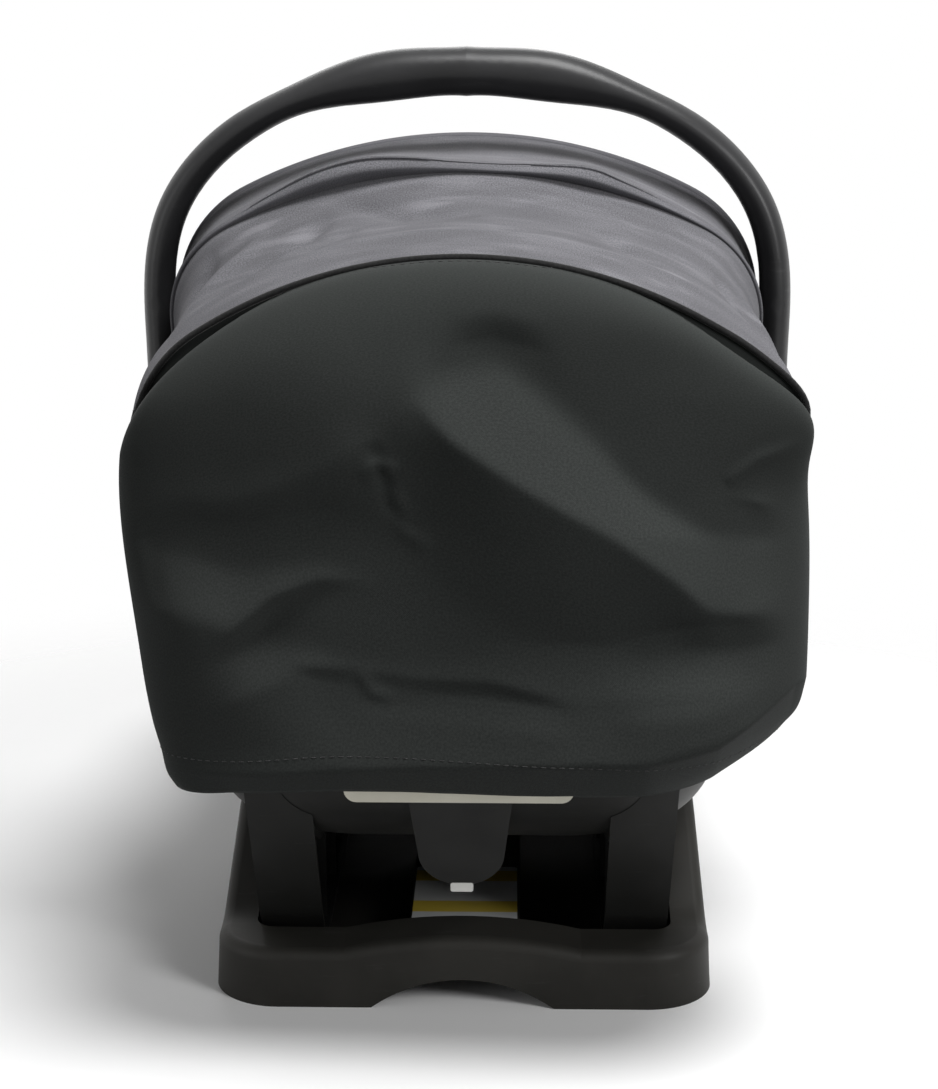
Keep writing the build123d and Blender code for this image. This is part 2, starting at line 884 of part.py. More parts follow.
def latch_set():
    """Clevis under the shell, its pin and the hooked pawl."""
    floor = shell_underside()
    clevis_half = pawl_width / 2 + run_gap + clevis_thickness
    clevis = slab(
        (-clevis_half, clevis_half),
        (pawl_pivot_place - clevis_half_length, pawl_pivot_place + clevis_half_length),
        (floor - seat_gap - clevis_plate, floor - seat_gap),
    )
    for side in (-1, 1):
        low, high = sorted((side * (pawl_width / 2 + run_gap), side * clevis_half))
        clevis += slab(
            (low, high),
            (pawl_pivot_place - pawl_eye_radius, pawl_pivot_place + pawl_eye_radius),
            (pawl_pivot_height, floor - seat_gap),
        )
        clevis += cross_rod(pawl_eye_radius, low, high, pawl_pivot_place, pawl_pivot_height)
    bore = cross_rod(
        pawl_pin_radius + pin_gap, -base_width, base_width, pawl_pivot_place, pawl_pivot_height
    )
    save("pawl_clevis", clevis - bore)
    save(
        "pawl_pin",
        cross_rod(
            pawl_pin_radius, -clevis_half, clevis_half, pawl_pivot_place, pawl_pivot_height
        ),
    )
    hook_top = strike_height - strike_radius - run_gap
    hook_low = plateau_height + hook_floor_gap
    hook_tip = strike_place - strike_radius + hook_setback
    blade = [
        (pawl_pivot_place - pawl_arm / 2, pawl_pivot_height),
        (strike_place + strike_radius + run_gap, strike_height + hook_shoulder),
        (strike_place + strike_radius + run_gap, hook_top),
        (hook_tip, hook_top),
        (strike_place + strike_radius, hook_low),
        (strike_place + strike_radius + pawl_arm + hook_heel, hook_low),
        (pawl_pivot_place + pawl_arm / 2, pawl_pivot_height),
    ]
    pawl = plain_profile(blade, -pawl_width / 2, pawl_width / 2)
    pawl += cross_rod(
        pawl_eye_radius, -pawl_width / 2, pawl_width / 2, pawl_pivot_place, pawl_pivot_height
    )
    save("latch_pawl", pawl - bore)


# Carry handle

def handle_section(turn):
    """Section of the handle's arch at an angle from the right arm, 0, over the top to the left."""
    half = handle_half_width - arm_thickness / 2
    rise = handle_top - grip_thickness / 2 - handle_spring
    across, up = cos(turn), sin(turn)
    place = Vector(
        half * abs(across) ** (2 / handle_power) * (1 if across >= 0 else -1),
        pivot_place,
        handle_spring + rise * abs(up) ** (2 / handle_power),
    )
    normal = Vector(
        (1 if across >= 0 else -1) * abs(place.X / half) ** (handle_power - 1) / half,
        0,
        ((place.Z - handle_spring) / rise) ** (handle_power - 1) / rise,
    ).normalized()
    gripping = min(1.0, max(0.0, (grip_half_length - abs(place.X)) / grip_blend))
    gripping = gripping * gripping * (3 - 2 * gripping)
    thick = between(between(arm_thickness, shoulder_thickness, up), grip_thickness, gripping)
    deep = between(arm_depth, grip_depth, gripping)
    plane = Plane(origin=place, x_dir=normal, z_dir=normal.cross(Vector(0, 1, 0)))
    return plane * Ellipse(thick / 2, deep / 2)


def carry_handle():
    """Arch of ellipses with a thick grip, on two hollow hubs."""
    centre = handle_half_width - arm_thickness / 2
    foot = Ellipse(arm_thickness / 2, arm_depth / 2)
    arm_heights = [between(pivot_height, handle_spring, share) for share in (0, 0.25, 0.5, 0.75)]
    sections = [Pos(centre, pivot_place, height) * foot for height in arm_heights]
    right = loft(sections + [handle_section(radians(turn)) for turn in arch_turns])
    right &= slab((0, 2 * handle_half_width), (-base_length, base_length), (0, 2 * handle_top))
    handle = right + mirror(right, about=Plane.YZ)
    for side in (-1, 1):
        low, high = sorted((side * hub_inside, side * handle_half_width))
        hub = cross_rod(hub_radius, low, high, pivot_place, pivot_height)
        handle += fillet(hub.edges().sort_by(Axis.X)[-1 if side > 0 else 0], hub_round)
        cavity_low, cavity_high = sorted(
            (side * (hub_inside + hub_web), side * (handle_half_width - hub_cap))
        )
        handle -= cross_rod(hub_cavity_radius, cavity_low, cavity_high, pivot_place, pivot_height)
        web_low, web_high = sorted(
            (side * (hub_inside - overcut), side * (hub_inside + pin_bore_reach))
        )
        handle -= cross_rod(pin_radius + pin_gap, web_low, web_high, pivot_place, pivot_height)
        cap_low, cap_high = sorted(
            (side * (handle_half_width - hub_cap - overcut), side * (handle_half_width + overcut))
        )
        bore = cross_rod(button_radius + pin_gap, cap_low, cap_high, pivot_place, pivot_height)
        handle -= bore
    save("carry_handle", handle)


def handle_fittings():
    """Pivot pins, lock buttons and their springs, right side first."""
    wall = shell_half_width(pivot_height)
    head_start = hub_inside + hub_web + seat_gap
    shank = cross_rod(pin_radius, wall - shell_wall, head_start, pivot_place, pivot_height)
    head = cross_rod(
        pin_head_radius, head_start, head_start + pin_head_height, pivot_place, pivot_height
    )
    flange_end = handle_half_width - hub_cap - seat_gap
    flange_start = flange_end - button_flange
    flange = cross_rod(button_flange_radius, flange_start, flange_end, pivot_place, pivot_height)
    cap_end = handle_half_width + button_proud
    cap = cross_rod(button_radius, flange_end, cap_end, pivot_place, pivot_height)
    cap = fillet(cap.edges().sort_by(Axis.X)[-1], button_round)
    spring_start = head_start + pin_head_height + seat_gap + spring_wire / 2
    spring_height = flange_start - seat_gap - spring_wire / 2 - spring_start
    path = Helix(spring_height / spring_turns, spring_height, spring_radius)
    wire = Plane(origin=path @ 0, z_dir=path % 0) * Circle(spring_wire / 2)
    coil = Pos(spring_start, pivot_place, pivot_height) * (Rot(0, 90, 0) * sweep(wire, path))
    for name, piece in zip(("right", "left"), both_sides(shank + head)):
        save(f"handle_pin_{name}", piece)
    for name, piece in zip(("right", "left"), both_sides(flange + cap)):
        save(f"handle_button_{name}", piece)
    for name, piece in zip(("right", "left"), both_sides(coil)):
        save(f"button_spring_{name}", piece)


# Hood

def hood_plane(place, height, tilt):
    """Upright plane across the seat, leaning towards the head end by tilt."""
    lean = radians(tilt)
    return Plane(
        origin=(0, place, height), x_dir=(1, 0, 0), z_dir=(0, -cos(lean), -sin(lean))
    )


def arch_edges(half, rise, corner, leg, start):
    """Arch in its own plane: straight legs, two corner arcs and a flatter arc over the top."""
    crown = ((half - corner) ** 2 + rise**2 - corner**2) / (2 * (rise - corner))
    lean_x = (half - corner) / (crown - corner)
    lean_z = (crown - rise) / (crown - corner)
    join_x = crown * lean_x
    join_z = leg + rise - crown + crown * lean_z
    middle = atan2(lean_z, lean_x) / 2
    bend_x = half - corner + corner * cos(middle)
    bend_z = leg + corner * sin(middle)
    return [
        Line((-half, start), (-half, leg)),
        ThreePointArc((-half, leg), (-bend_x, bend_z), (-join_x, join_z)),
        ThreePointArc((-join_x, join_z), (0, leg + rise), (join_x, join_z)),
        ThreePointArc((join_x, join_z), (bend_x, bend_z), (half, leg)),
        Line((half, leg), (half, start)),
    ]


def cloth_band(half, rise, corner, leg, start):
    """Section of the hood's cloth: a thin arch."""
    outer = arch_edges(half, rise, corner, leg, start)
    inner = arch_edges(
        half - hood_cloth, rise - hood_cloth, corner - hood_cloth, leg, start
    )
    ends = [
        Line((-half, start), (hood_cloth - half, start)),
        Line((half, start), (half - hood_cloth, start)),
    ]
    return make_face(outer + inner + ends)


def bow_rod(half, rise, corner, leg, radius):
    """Round rod along an arch, in the arch's own plane."""
    path = Wire(arch_edges(half, rise, corner, leg, 0))
    return sweep(Plane(origin=path @ 0, z_dir=path % 0) * Circle(radius), path)


def hood_cloth_pieces():
    pivot = (hood_pivot_place, hood_pivot_height)
    panel_rise = panel_top - panel_spring
    at_panel = hood_plane(panel_edge + seat_gap, panel_spring, 0) * cloth_band(
        panel_half_width, panel_rise, panel_corner, seat_gap, -cloth_leg_cut
    )
    halfway_place = (panel_edge + hood_pivot_place) / 2
    halfway = hood_plane(halfway_place, hood_pivot_height, mid_tilt / 2) * cloth_band(
        (panel_half_width + hood_half_width) / 2,
        hood_rise - hood_sag,
        hood_corner,
        mid_leg / 2,
        -cloth_leg_cut / 4,
    )
    at_mid = hood_plane(*pivot, mid_tilt + seam_turn) * cloth_band(
        hood_half_width, hood_rise, hood_corner, mid_leg, cloth_leg_cut
    )
    save("hood_rear_cloth", loft([at_panel, halfway, at_mid]))
    over_mid = hood_plane(*pivot, mid_tilt - seam_turn) * cloth_band(
        hood_half_width, hood_rise, hood_corner, mid_leg + fold_step, cloth_leg_cut
    )
    between_bows = hood_plane(*pivot, (mid_tilt + front_tilt) / 2) * cloth_band(
        hood_half_width,
        hood_rise - hood_sag,
        hood_corner,
        (mid_leg + front_leg) / 2 + fold_step,
        cloth_leg_cut,
    )
    at_front = hood_plane(*pivot, front_tilt) * cloth_band(
        hood_half_width, hood_rise, hood_corner, front_leg, cloth_leg_cut
    )
    save("hood_front_cloth", loft([over_mid, between_bows, at_front]))


def hood_bow(name, order, tilt, leg):
    """Hinged bow with an eye on each pivot pin."""
    eye_start = hood_bracket_outside + seat_gap + order * (bow_eye_thickness + seat_gap)
    half = eye_start + bow_eye_thickness / 2
    under_cloth = hood_cloth + seat_gap + bow_radius
    rise = hood_rise - under_cloth
    rod = bow_rod(half, rise, hood_corner - under_cloth, leg, bow_radius)
    rod = hood_plane(hood_pivot_place, hood_pivot_height, tilt) * rod
    for side in (-1, 1):
        low, high = sorted((side * eye_start, side * (eye_start + bow_eye_thickness)))
        rod += cross_rod(bow_eye_radius, low, high, hood_pivot_place, hood_pivot_height)
    bore = cross_rod(
        hood_pin_radius + pin_gap,
        -handle_half_width,
        handle_half_width,
        hood_pivot_place,
        hood_pivot_height,
    )
    save(name, rod - bore)


def hood_brackets(shell):
    """Clip that straddles the rim, with the pin that both bows turn on."""
    inner = hood_bracket_outside - hood_bracket_thickness
    clip = slab(
        (inner, hood_bracket_outside),
        (hood_pivot_place - hood_bracket_width / 2, hood_pivot_place + hood_bracket_width / 2),
        (hood_pivot_height - hood_bracket_grip * 2, hood_pivot_height),
    )
    clip += cross_rod(
        hood_bracket_width / 2, inner, hood_bracket_outside, hood_pivot_place, hood_pivot_height
    )
    pin_end = hood_bracket_outside + 2 * (bow_eye_thickness + seat_gap) + seat_gap
    clip += cross_rod(
        hood_pin_radius, rim_half_width, pin_end, hood_pivot_place, hood_pivot_height
    )
    for name, piece in zip(("right", "left"), both_sides(clip)):
        save(f"hood_bracket_{name}", (piece - shell).solids().sort_by(SortBy.VOLUME)[-1])


def panel_section(place, share, inset):
    """Outline of the back panel on one upright plane, shrunk towards the panel's centre."""
    half = panel_half_width * share - inset
    rise = (panel_top - panel_spring) * share - inset
    corner = panel_corner * share - inset
    spring = between(panel_centre, panel_spring, share)
    low = between(panel_centre, panel_low, share)
    floor = between(panel_centre, panel_floor, share) + inset
    low_half = panel_low_half * share - inset
    floor_half = panel_floor_half * share - inset
    arch = arch_edges(half, rise, corner, spring, low)[1:4]
    skirt = [
        Line((half, spring), (low_half, low)),
        Line((low_half, low), (floor_half, floor)),
        Line((floor_half, floor), (-floor_half, floor)),
        Line((-floor_half, floor), (-low_half, low)),
        Line((-low_half, low), (-half, spring)),
    ]
    return hood_plane(place, 0, 0) * make_face(arch + skirt)


def panel_fold(start, end, girth, height, inset):
    """Spindle whose back stands out of the panel's face along one fold."""
    run = Vector(end[0] - start[0], 0, end[1] - start[1])
    axis_place = panel_face + girth - height
    sections = []
    for share in (0.0, 0.25, 0.5, 0.75, 1.0):
        radius = girth - fold_fade * height * (1 - sin(pi * share)) - inset
        centre = (between(start[0], end[0], share), axis_place, between(start[1], end[1], share))
        sections.append(Plane(origin=centre, z_dir=run) * Circle(radius))
    return loft(sections)


def back_panel():
    """Loose cloth cap over the head end, open at the hem and where it joins the hood."""

    def cap(inset):
        sections = []
        for share in panel_shares:
            along = (1 - share**panel_power) ** (1 / panel_power)
            place = panel_edge + (panel_face - panel_edge + inset) * along
            sections.append(panel_section(place, share, inset))
        form = loft(sections)
        for fold in panel_folds:
            form += panel_fold(*fold, inset)
        return form

    panel = cap(0) - cap(hood_cloth)
    across = (-handle_half_width, handle_half_width)
    past_folds = 2 * panel_face - panel_edge
    panel -= slab(across, (past_folds, 0), (0, panel_hem))
    panel -= slab(across, (panel_edge, 0), (0, handle_top))
    save("hood_back_panel", panel)


def rear_bow():
    """Fixed rod inside the back panel's edge, on two feet against the rim's flange."""
    under_cloth = hood_cloth + 3 * seat_gap + rear_bow_radius
    half = panel_half_width - under_cloth
    rise = panel_top - panel_spring - under_cloth
    rod = bow_rod(half, rise, panel_corner - under_cloth, rear_bow_radius, rear_bow_radius)
    place = panel_edge - rear_bow_radius - seat_gap
    bow = hood_plane(place, panel_spring - rear_bow_radius, 0) * rod
    past_corner = head_rim_end + rim_corner - place - rear_bow_radius
    flange_round = sqrt((rim_corner + flange_reach) ** 2 - past_corner**2)
    foot_start = rim_half_width - rim_corner + flange_round + seat_gap
    for side in (-1, 1):
        foot = slab(
            (side * foot_start, side * (half - rear_bow_radius)),
            (place - rear_bow_foot_depth, place + rear_bow_radius),
            (shell_top - rear_bow_foot, shell_top + overcut),
        )
        bow += foot
    save("rear_bow", bow)


# Padding

def back_plane():
    """On the back slope, X across, Y down the slope to the bight, Z out of the padding."""
    lean = radians(back_slope)
    return Plane(
        origin=(
            0,
            bight_place - back_length * cos(lean),
            bight_height + back_length * sin(lean),
        ),
        x_dir=(1, 0, 0),
        z_dir=(0, sin(lean), cos(lean)),
    )


def seat_plane():
    """On the seat slope, X across, Y from the bight to the foot end, Z out of the padding."""
    lean = radians(seat_slope)
    return Plane(
        origin=(0, bight_place, bight_height), x_dir=(1, 0, 0), z_dir=(0, -sin(lean), cos(lean))
    )


def lying(plane, x_range, y_range, z_range):
    """Box in the frame of a slope."""
    return plane * slab(x_range, y_range, z_range)


def over_slopes(lift):
    """Space above the back slope and the seat slope, both raised by lift."""
    top = 3 * shell_top
    lean = radians(back_slope)
    tip = radians(seat_slope)
    bight_lift = lift / cos((lean + tip) / 2)
    middle = (lean - tip) / 2
    bight = (bight_place + bight_lift * sin(middle), bight_height + bight_lift * cos(middle))
    reach = 2 * back_length
    return plain_profile(
        [
            bight,
            (bight[0] + reach * cos(tip), bight[1] + reach * sin(tip)),
            (bight[0] + reach * cos(tip), top),
            (bight[0] - reach * cos(lean), top),
            (bight[0] - reach * cos(lean), bight[1] + reach * sin(lean)),
        ],
        -2 * rim_half_width,
        2 * rim_half_width,
    )


def energy_foam():
    """Foam bucket: a slab under both slopes on two webs, fitted inside the shell."""
    inside = shell_form(shell_wall + seat_gap)
    for screw in rail_screws(seat_gap):
        inside -= screw
    under = inside - over_slopes(0) - above_rim(liner_drop)
    thick = under - (under - over_slopes(-foam_thickness))
    webs = Part()
    for side in (-1, 1):
        low, high = sorted((side * foam_web_place, side * (foam_web_place + foam_web)))
        webs += under & slab((low, high), (head_rim_end, foot_rim_end), (0, shell_top))
    foam = thick + webs
    foam &= slab(
        (-foam_half_width, foam_half_width),
        (head_rim_end, bight_place + seat_length),
        (0, shell_top),
    )
    save("energy_foam", foam)


def pad_section(half, low, high):
    """Section of a pad: flat below, rolled edges, slightly crowned on top."""
    edge = min(pad_edge, (high - low) / 2 - seat_gap)
    shoulder = high - pad_crown
    return make_face(
        [
            Line((-half + edge, low), (half - edge, low)),
            ThreePointArc(
                (half - edge, low), (half, (low + shoulder) / 2), (half - edge, shoulder)
            ),
            ThreePointArc((half - edge, shoulder), (0, high), (-half + edge, shoulder)),
            ThreePointArc(
                (-half + edge, shoulder), (-half, (low + shoulder) / 2), (-half + edge, low)
            ),
        ]
    )


def pad(plane, start, end, channels):
    """Crowned pad on a slope, drawn in at its sides and at each sewn channel."""
    cells = channels + 1
    sections = []
    for cell in range(cells + 1):
        for share in cell_shares:
            if cell == cells and share > 0:
                break
            length_share = (cell + share) / cells
            at_end = length_share in (0.0, 1.0)
            waist = pad_draw_in * sin(pi * length_share)
            sewn = pad_end_drop if at_end else channel_depth if share == 0 else 0.0
            half = pad_half_width - waist - sewn
            across = Plane(
                origin=(0, between(start, end, length_share), 0), x_dir=(1, 0, 0), z_dir=(0, -1, 0)
            )
            sections.append(plane * (across * pad_section(half, seat_gap, pad_thickness - sewn)))
    return loft(sections, ruled=True)


def padding():
    back = pad(back_plane(), back_pad_start, back_pad_end, back_channels)
    seat = pad(seat_plane(), seat_pad_start, seat_pad_end, seat_channels)
    for side in (-1, 1):
        middle = side * slot_spread / 2
        back -= lying(
            back_plane(),
            (middle - slot_width / 2, middle + slot_width / 2),
            (slot_place - slot_gap / 2, slot_place + slot_gap / 2),
            (-overcut, pad_thickness + overcut),
        )
    seat -= lying(
        seat_plane(),
        (-slot_width / 2, slot_width / 2),
        (crotch_slot_place - slot_gap / 2, crotch_slot_place + slot_gap / 2),
        (-overcut, pad_thickness + overcut),
    )
    save("back_pad", back)
    save("seat_pad", seat)
    band = shell_form(shell_wall + seat_gap) - shell_form(shell_wall + liner_thickness)
    liner = (band & over_slopes(seat_gap)) - above_rim(liner_drop)
    liner &= slab(
        (-rim_half_width, rim_half_width), (head_rim_end, liner_foot_end), (0, shell_top)
    )
    for side in (-1, 1):
        notch_half = hood_bracket_width / 2 + seat_gap
        liner -= slab(
            (side * rim_half_width / 2, side * rim_half_width),
            (hood_pivot_place - notch_half, hood_pivot_place + notch_half),
            (hood_pivot_height - 2 * hood_bracket_grip - seat_gap, shell_top),
        )
    save("side_liner", liner)


# Harness

def strap_run(plane, points, level):
    """Flat webbing through (x, y) points on a slope, lying on its level."""
    pieces = Part()
    for (x0, y0), (x1, y1) in zip(points, points[1:]):
        length = sqrt((x1 - x0) ** 2 + (y1 - y0) ** 2)
        turn = degrees(atan2(y1 - y0, x1 - x0))
        piece = Pos((x0 + x1) / 2, (y0 + y1) / 2, level + web_thickness / 2) * (
            Rot(0, 0, turn) * Box(length, web_width, web_thickness)
        )
        pieces += plane * piece
    return pieces


def harness():
    plane = back_plane()
    level = pad_thickness + seat_gap
    shoulder = strap_run(
        plane,
        [(slot_spread / 2, slot_place - web_thickness / 2), (strap_low_spread / 2, strap_low_place)],
        level,
    )
    shoulder -= lying(
        plane, (-hip_spread, hip_spread), (0, slot_place - web_thickness / 2), (0, 2 * level)
    )
    drop = lying(
        plane,
        (slot_spread / 2 - web_width / 2, slot_spread / 2 + web_width / 2),
        (slot_place - web_thickness / 2, slot_place + web_thickness / 2),
        (seat_gap, level + web_thickness),
    )
    hip = strap_run(
        plane, [(strap_low_spread / 2, strap_low_place), (hip_spread / 2, hip_place)], level
    )
    for name, piece in zip(("right", "left"), both_sides(shoulder + drop + hip)):
        save(f"harness_strap_{name}", piece)

    over_straps = level + web_thickness + seat_gap
    clip = lying(
        plane,
        (-clip_width / 2, clip_width / 2),
        (clip_place, clip_place + clip_length),
        (over_straps, over_straps + clip_height),
    )
    clip = fillet(clip.edges().filter_by(lambda edge: edge.length < clip_height + hair), clip_round)
    save("chest_clip", clip)

    housing = lying(
        plane,
        (-buckle_width / 2, buckle_width / 2),
        (buckle_place, buckle_place + buckle_length),
        (over_straps, over_straps + buckle_height),
    )
    upright = housing.edges().filter_by(lambda edge: edge.length < buckle_height + hair)
    housing = fillet(upright, buckle_round)
    mouth = (over_straps + tongue_lift, over_straps + tongue_lift + tongue_thickness)
    bar_start = buckle_place + tongue_insert - tongue_length
    tongues = []
    for side in (-1, 1):
        low, high = sorted((side * tongue_parting, side * tongue_width))
        tongues.append(
            lying(
                plane,
                (low, high),
                (bar_start, buckle_place + tongue_insert),
                mouth,
            )
            + lying(
                plane,
                (low, high),
                (bar_start, bar_start + tongue_bar),
                (over_straps, mouth[1]),
            )
        )
    housing -= lying(
        plane,
        (-tongue_width - seat_gap, tongue_width + seat_gap),
        (buckle_place - overcut, buckle_place + tongue_insert + seat_gap),
        (mouth[0] - seat_gap, mouth[1] + seat_gap),
    )
    button_start = buckle_place + buckle_button_start
    button_top = over_straps + buckle_height
    housing -= lying(
        plane,
        (-buckle_button_width / 2 - seat_gap, buckle_button_width / 2 + seat_gap),
        (button_start - seat_gap, button_start + buckle_button_length + seat_gap),
        (button_top - buckle_button_depth - buckle_button_travel, button_top + overcut),
    )
    button = lying(
        plane,
        (-buckle_button_width / 2, buckle_button_width / 2),
        (button_start, button_start + buckle_button_length),
        (button_top - buckle_button_depth, button_top + buckle_button_proud),
    )
    save("buckle_housing", housing)
    save("buckle_button", button)
    for name, piece in zip(("left", "right"), tongues):
        save(f"buckle_tongue_{name}", piece)
    crotch_strap(plane, over_straps)
    adjuster()


def crotch_strap(plane, over_straps):
    """Strap from the foot of the buckle over the seat pad and down into its slot."""
    start = plane.from_local_coords(
        Vector(0, buckle_place + buckle_length + web_thickness, over_straps + buckle_height / 3)
    )
    end_local = Vector(0, crotch_slot_place, pad_thickness + seat_gap)
    end = seat_plane().from_local_coords(end_local)
    deep = seat_plane().from_local_coords(Vector(0, crotch_slot_place, seat_gap))
    run = plain_profile(
        [
            (start.Y, start.Z),
            (end.Y - crotch_bend, end.Z + crotch_bend_rise),
            (end.Y, end.Z),
            (deep.Y, deep.Z),
            (deep.Y + web_thickness, deep.Z + seat_gap),
            (end.Y + web_thickness, end.Z + web_thickness),
            (end.Y - crotch_bend, end.Z + crotch_bend_rise + web_thickness),
            (start.Y, start.Z + web_thickness),
        ],
        -web_width / 2,
        web_width / 2,
    )
    save("crotch_strap", run)


def adjuster():
    """Strap lock at the front of the seat, its release button and the strap's tail."""
    plane = seat_plane()
    top = seat_gap + adjuster_height
    body = lying(
        plane,
        (-adjuster_width / 2, adjuster_width / 2),
        (adjuster_place, adjuster_place + adjuster_length),
        (seat_gap, top),
    )
    upright = body.edges().filter_by(lambda edge: edge.length < adjuster_height + hair)
    body = fillet(upright, adjuster_round)
    start = adjuster_place + adjuster_button_start
    end = start + adjuster_button_length
    button_half = adjuster_width / 2 - adjuster_cheek
    body -= lying(
        plane,
        (-button_half - seat_gap, button_half + seat_gap),
        (start - seat_gap, end + seat_gap),
        (top / 2 - adjuster_button_travel + seat_gap, top + overcut),
    )
    tail_level = (top - web_thickness) / 2
    body -= lying(
        plane,
        (-tail_width / 2 - seat_gap, tail_width / 2 + seat_gap),
        (end + tail_bridge, adjuster_place + adjuster_length + overcut),
        (tail_level - seat_gap, tail_level + web_thickness + seat_gap),
    )
    save("adjuster_housing", body)
    button = lying(
        plane,
        (-button_half, button_half),
        (start, end),
        (top / 2 + seat_gap, top + adjuster_button_proud),
    )
    save("adjuster_button", button)
    tail = lying(
        plane,
        (-tail_width / 2, tail_width / 2),
        (end + tail_bridge + seat_gap, adjuster_place + adjuster_length + tail_length),
        (tail_level, tail_level + web_thickness),
    )
    save("adjuster_tail", tail)


shell_piece = carrier_shell()
save("carrier_shell", shell_piece)
base_tray()
base_fittings()
anchor_set()
for rail_name, rail_piece in zip(("right", "left"), both_sides(rocker_rail())):
    save(f"rocker_rail_{rail_name}", rail_piece)
save("rail_screws", *rail_screws(0))
release_set()
latch_set()
carry_handle()
handle_fittings()
hood_cloth_pieces()
hood_bow("mid_bow", 0, mid_tilt, mid_leg)
hood_bow("front_bow", 1, front_tilt, front_leg)
hood_brackets(shell_piece)
back_panel()
rear_bow()
energy_foam()
padding()
harness()
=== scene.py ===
import json
import math

import bmesh
import bpy
import numpy
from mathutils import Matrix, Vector, noise
from mathutils.bvhtree import BVHTree


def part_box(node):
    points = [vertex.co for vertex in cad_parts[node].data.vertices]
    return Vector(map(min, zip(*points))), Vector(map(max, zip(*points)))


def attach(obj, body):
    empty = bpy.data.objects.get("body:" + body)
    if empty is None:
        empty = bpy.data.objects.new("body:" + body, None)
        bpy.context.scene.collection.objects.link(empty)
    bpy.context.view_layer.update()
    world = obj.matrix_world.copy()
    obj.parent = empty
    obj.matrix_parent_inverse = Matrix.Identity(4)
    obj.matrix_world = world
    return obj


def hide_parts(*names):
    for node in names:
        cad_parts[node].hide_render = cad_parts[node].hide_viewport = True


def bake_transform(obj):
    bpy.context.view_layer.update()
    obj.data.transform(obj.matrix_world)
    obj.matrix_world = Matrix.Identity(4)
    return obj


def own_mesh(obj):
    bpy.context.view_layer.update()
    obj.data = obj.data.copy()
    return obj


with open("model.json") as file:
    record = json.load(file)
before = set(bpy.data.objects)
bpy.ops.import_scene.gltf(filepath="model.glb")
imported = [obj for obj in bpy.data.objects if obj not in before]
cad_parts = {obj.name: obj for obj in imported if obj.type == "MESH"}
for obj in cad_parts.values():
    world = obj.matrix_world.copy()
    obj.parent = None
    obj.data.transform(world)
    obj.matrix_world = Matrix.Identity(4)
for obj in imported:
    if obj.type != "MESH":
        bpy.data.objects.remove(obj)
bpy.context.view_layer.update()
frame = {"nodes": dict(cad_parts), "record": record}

# Infant car seat on its base: finishes, hood cloth, padding, webbing and trim.
# Metres, in the frame of the part: +Z up, the head end towards -Y.

mm = 0.001
nodes = frame["nodes"]

# Hood and its loose back panel
panel_edge = -252 * mm
piping_forward = 45 * mm  # of the piping over the rear bow, along the line of sight
panel_face = -331 * mm
panel_half = 205 * mm
panel_bulge = 11 * mm
panel_spring = 385 * mm
panel_top = 504 * mm
panel_corner = 84 * mm
panel_fullness = 4.0
hood_pivot = Vector((0, -96, 396)) * mm
hood_half = 199 * mm
hood_rise = 110 * mm
hood_corner = 80 * mm
mid_tilt = 20
mid_leg = 55 * mm
front_tilt = -18
front_leg = 72 * mm
leg_cut = 10 * mm
hood_sag = 9 * mm
cloth_thickness = 1.2 * mm
viewpoint = Vector((31.4, -1594.3, 636.8)) * mm  # where the photograph was taken from

# Slopes that carry the padding
bight = Vector((0, 60, 140)) * mm
back_slope = math.radians(36)
back_length = 400 * mm
seat_slope = math.radians(10)
web_width = 38 * mm
web_thickness = 1.4 * mm


# Node building

def connect(tree, socket, value):
    """Socket fed by another socket, or set to a value. Colours are given without alpha."""
    if isinstance(value, bpy.types.NodeSocket):
        tree.links.new(value, socket)
    elif socket.type == "RGBA":
        socket.default_value = (*value, 1)
    else:
        socket.default_value = value


def feed(tree, node, **inputs):
    """Inputs of a node by name, with spaces as underscores, each from a socket or a value."""
    for key, value in inputs.items():
        connect(tree, node.inputs[key.replace("_", " ")], value)


def add(tree, kind, **settings):
    """New shader node. Settings are its properties, or its inputs as feed takes them."""
    made = tree.nodes.new(kind)
    for key, value in settings.items():
        if hasattr(made, key):
            setattr(made, key, value)
        else:
            feed(tree, made, **{key: value})
    return made


def maths(tree, operation, first, second=None):
    """Math node on two sockets or numbers, as its result socket."""
    made = add(tree, "ShaderNodeMath", operation=operation)
    for socket, value in zip(made.inputs, (first, second)):
        if value is not None:
            connect(tree, socket, value)
    return made.outputs[0]


def mix_colours(tree, factor, first, second):
    """Colour between two colours or colour sockets, as a socket."""
    made = add(tree, "ShaderNodeMix", data_type="RGBA")
    for place, value in ((0, factor), (6, first), (7, second)):
        connect(tree, made.inputs[place], value)
    return made.outputs[2]


def ramp(tree, value, low, high):
    """Value that climbs from 0 at low to 1 at high."""
    made = add(tree, "ShaderNodeMapRange", interpolation_type="SMOOTHSTEP")
    feed(tree, made, Value=value, From_Min=low, From_Max=high)
    return made.outputs[0]


def new_group(name, numbers, outputs):
    """Shader group on a Vector and numbers: its tree, its input sockets and its output node."""
    tree = bpy.data.node_groups.new(name, "ShaderNodeTree")
    tree.interface.new_socket("Vector", in_out="INPUT", socket_type="NodeSocketVector")
    for socket, value in numbers.items():
        made = tree.interface.new_socket(socket, in_out="INPUT", socket_type="NodeSocketFloat")
        made.default_value = value
    for socket in outputs:
        tree.interface.new_socket(socket, in_out="OUTPUT", socket_type="NodeSocketFloat")
    given = tree.nodes.new("NodeGroupInput")
    return tree, given.outputs, tree.nodes.new("NodeGroupOutput")


def speckles(tree, place, **settings):
    """Noise over the surface, as a socket."""
    return add(tree, "ShaderNodeTexNoise", Vector=place, **settings).outputs[0]


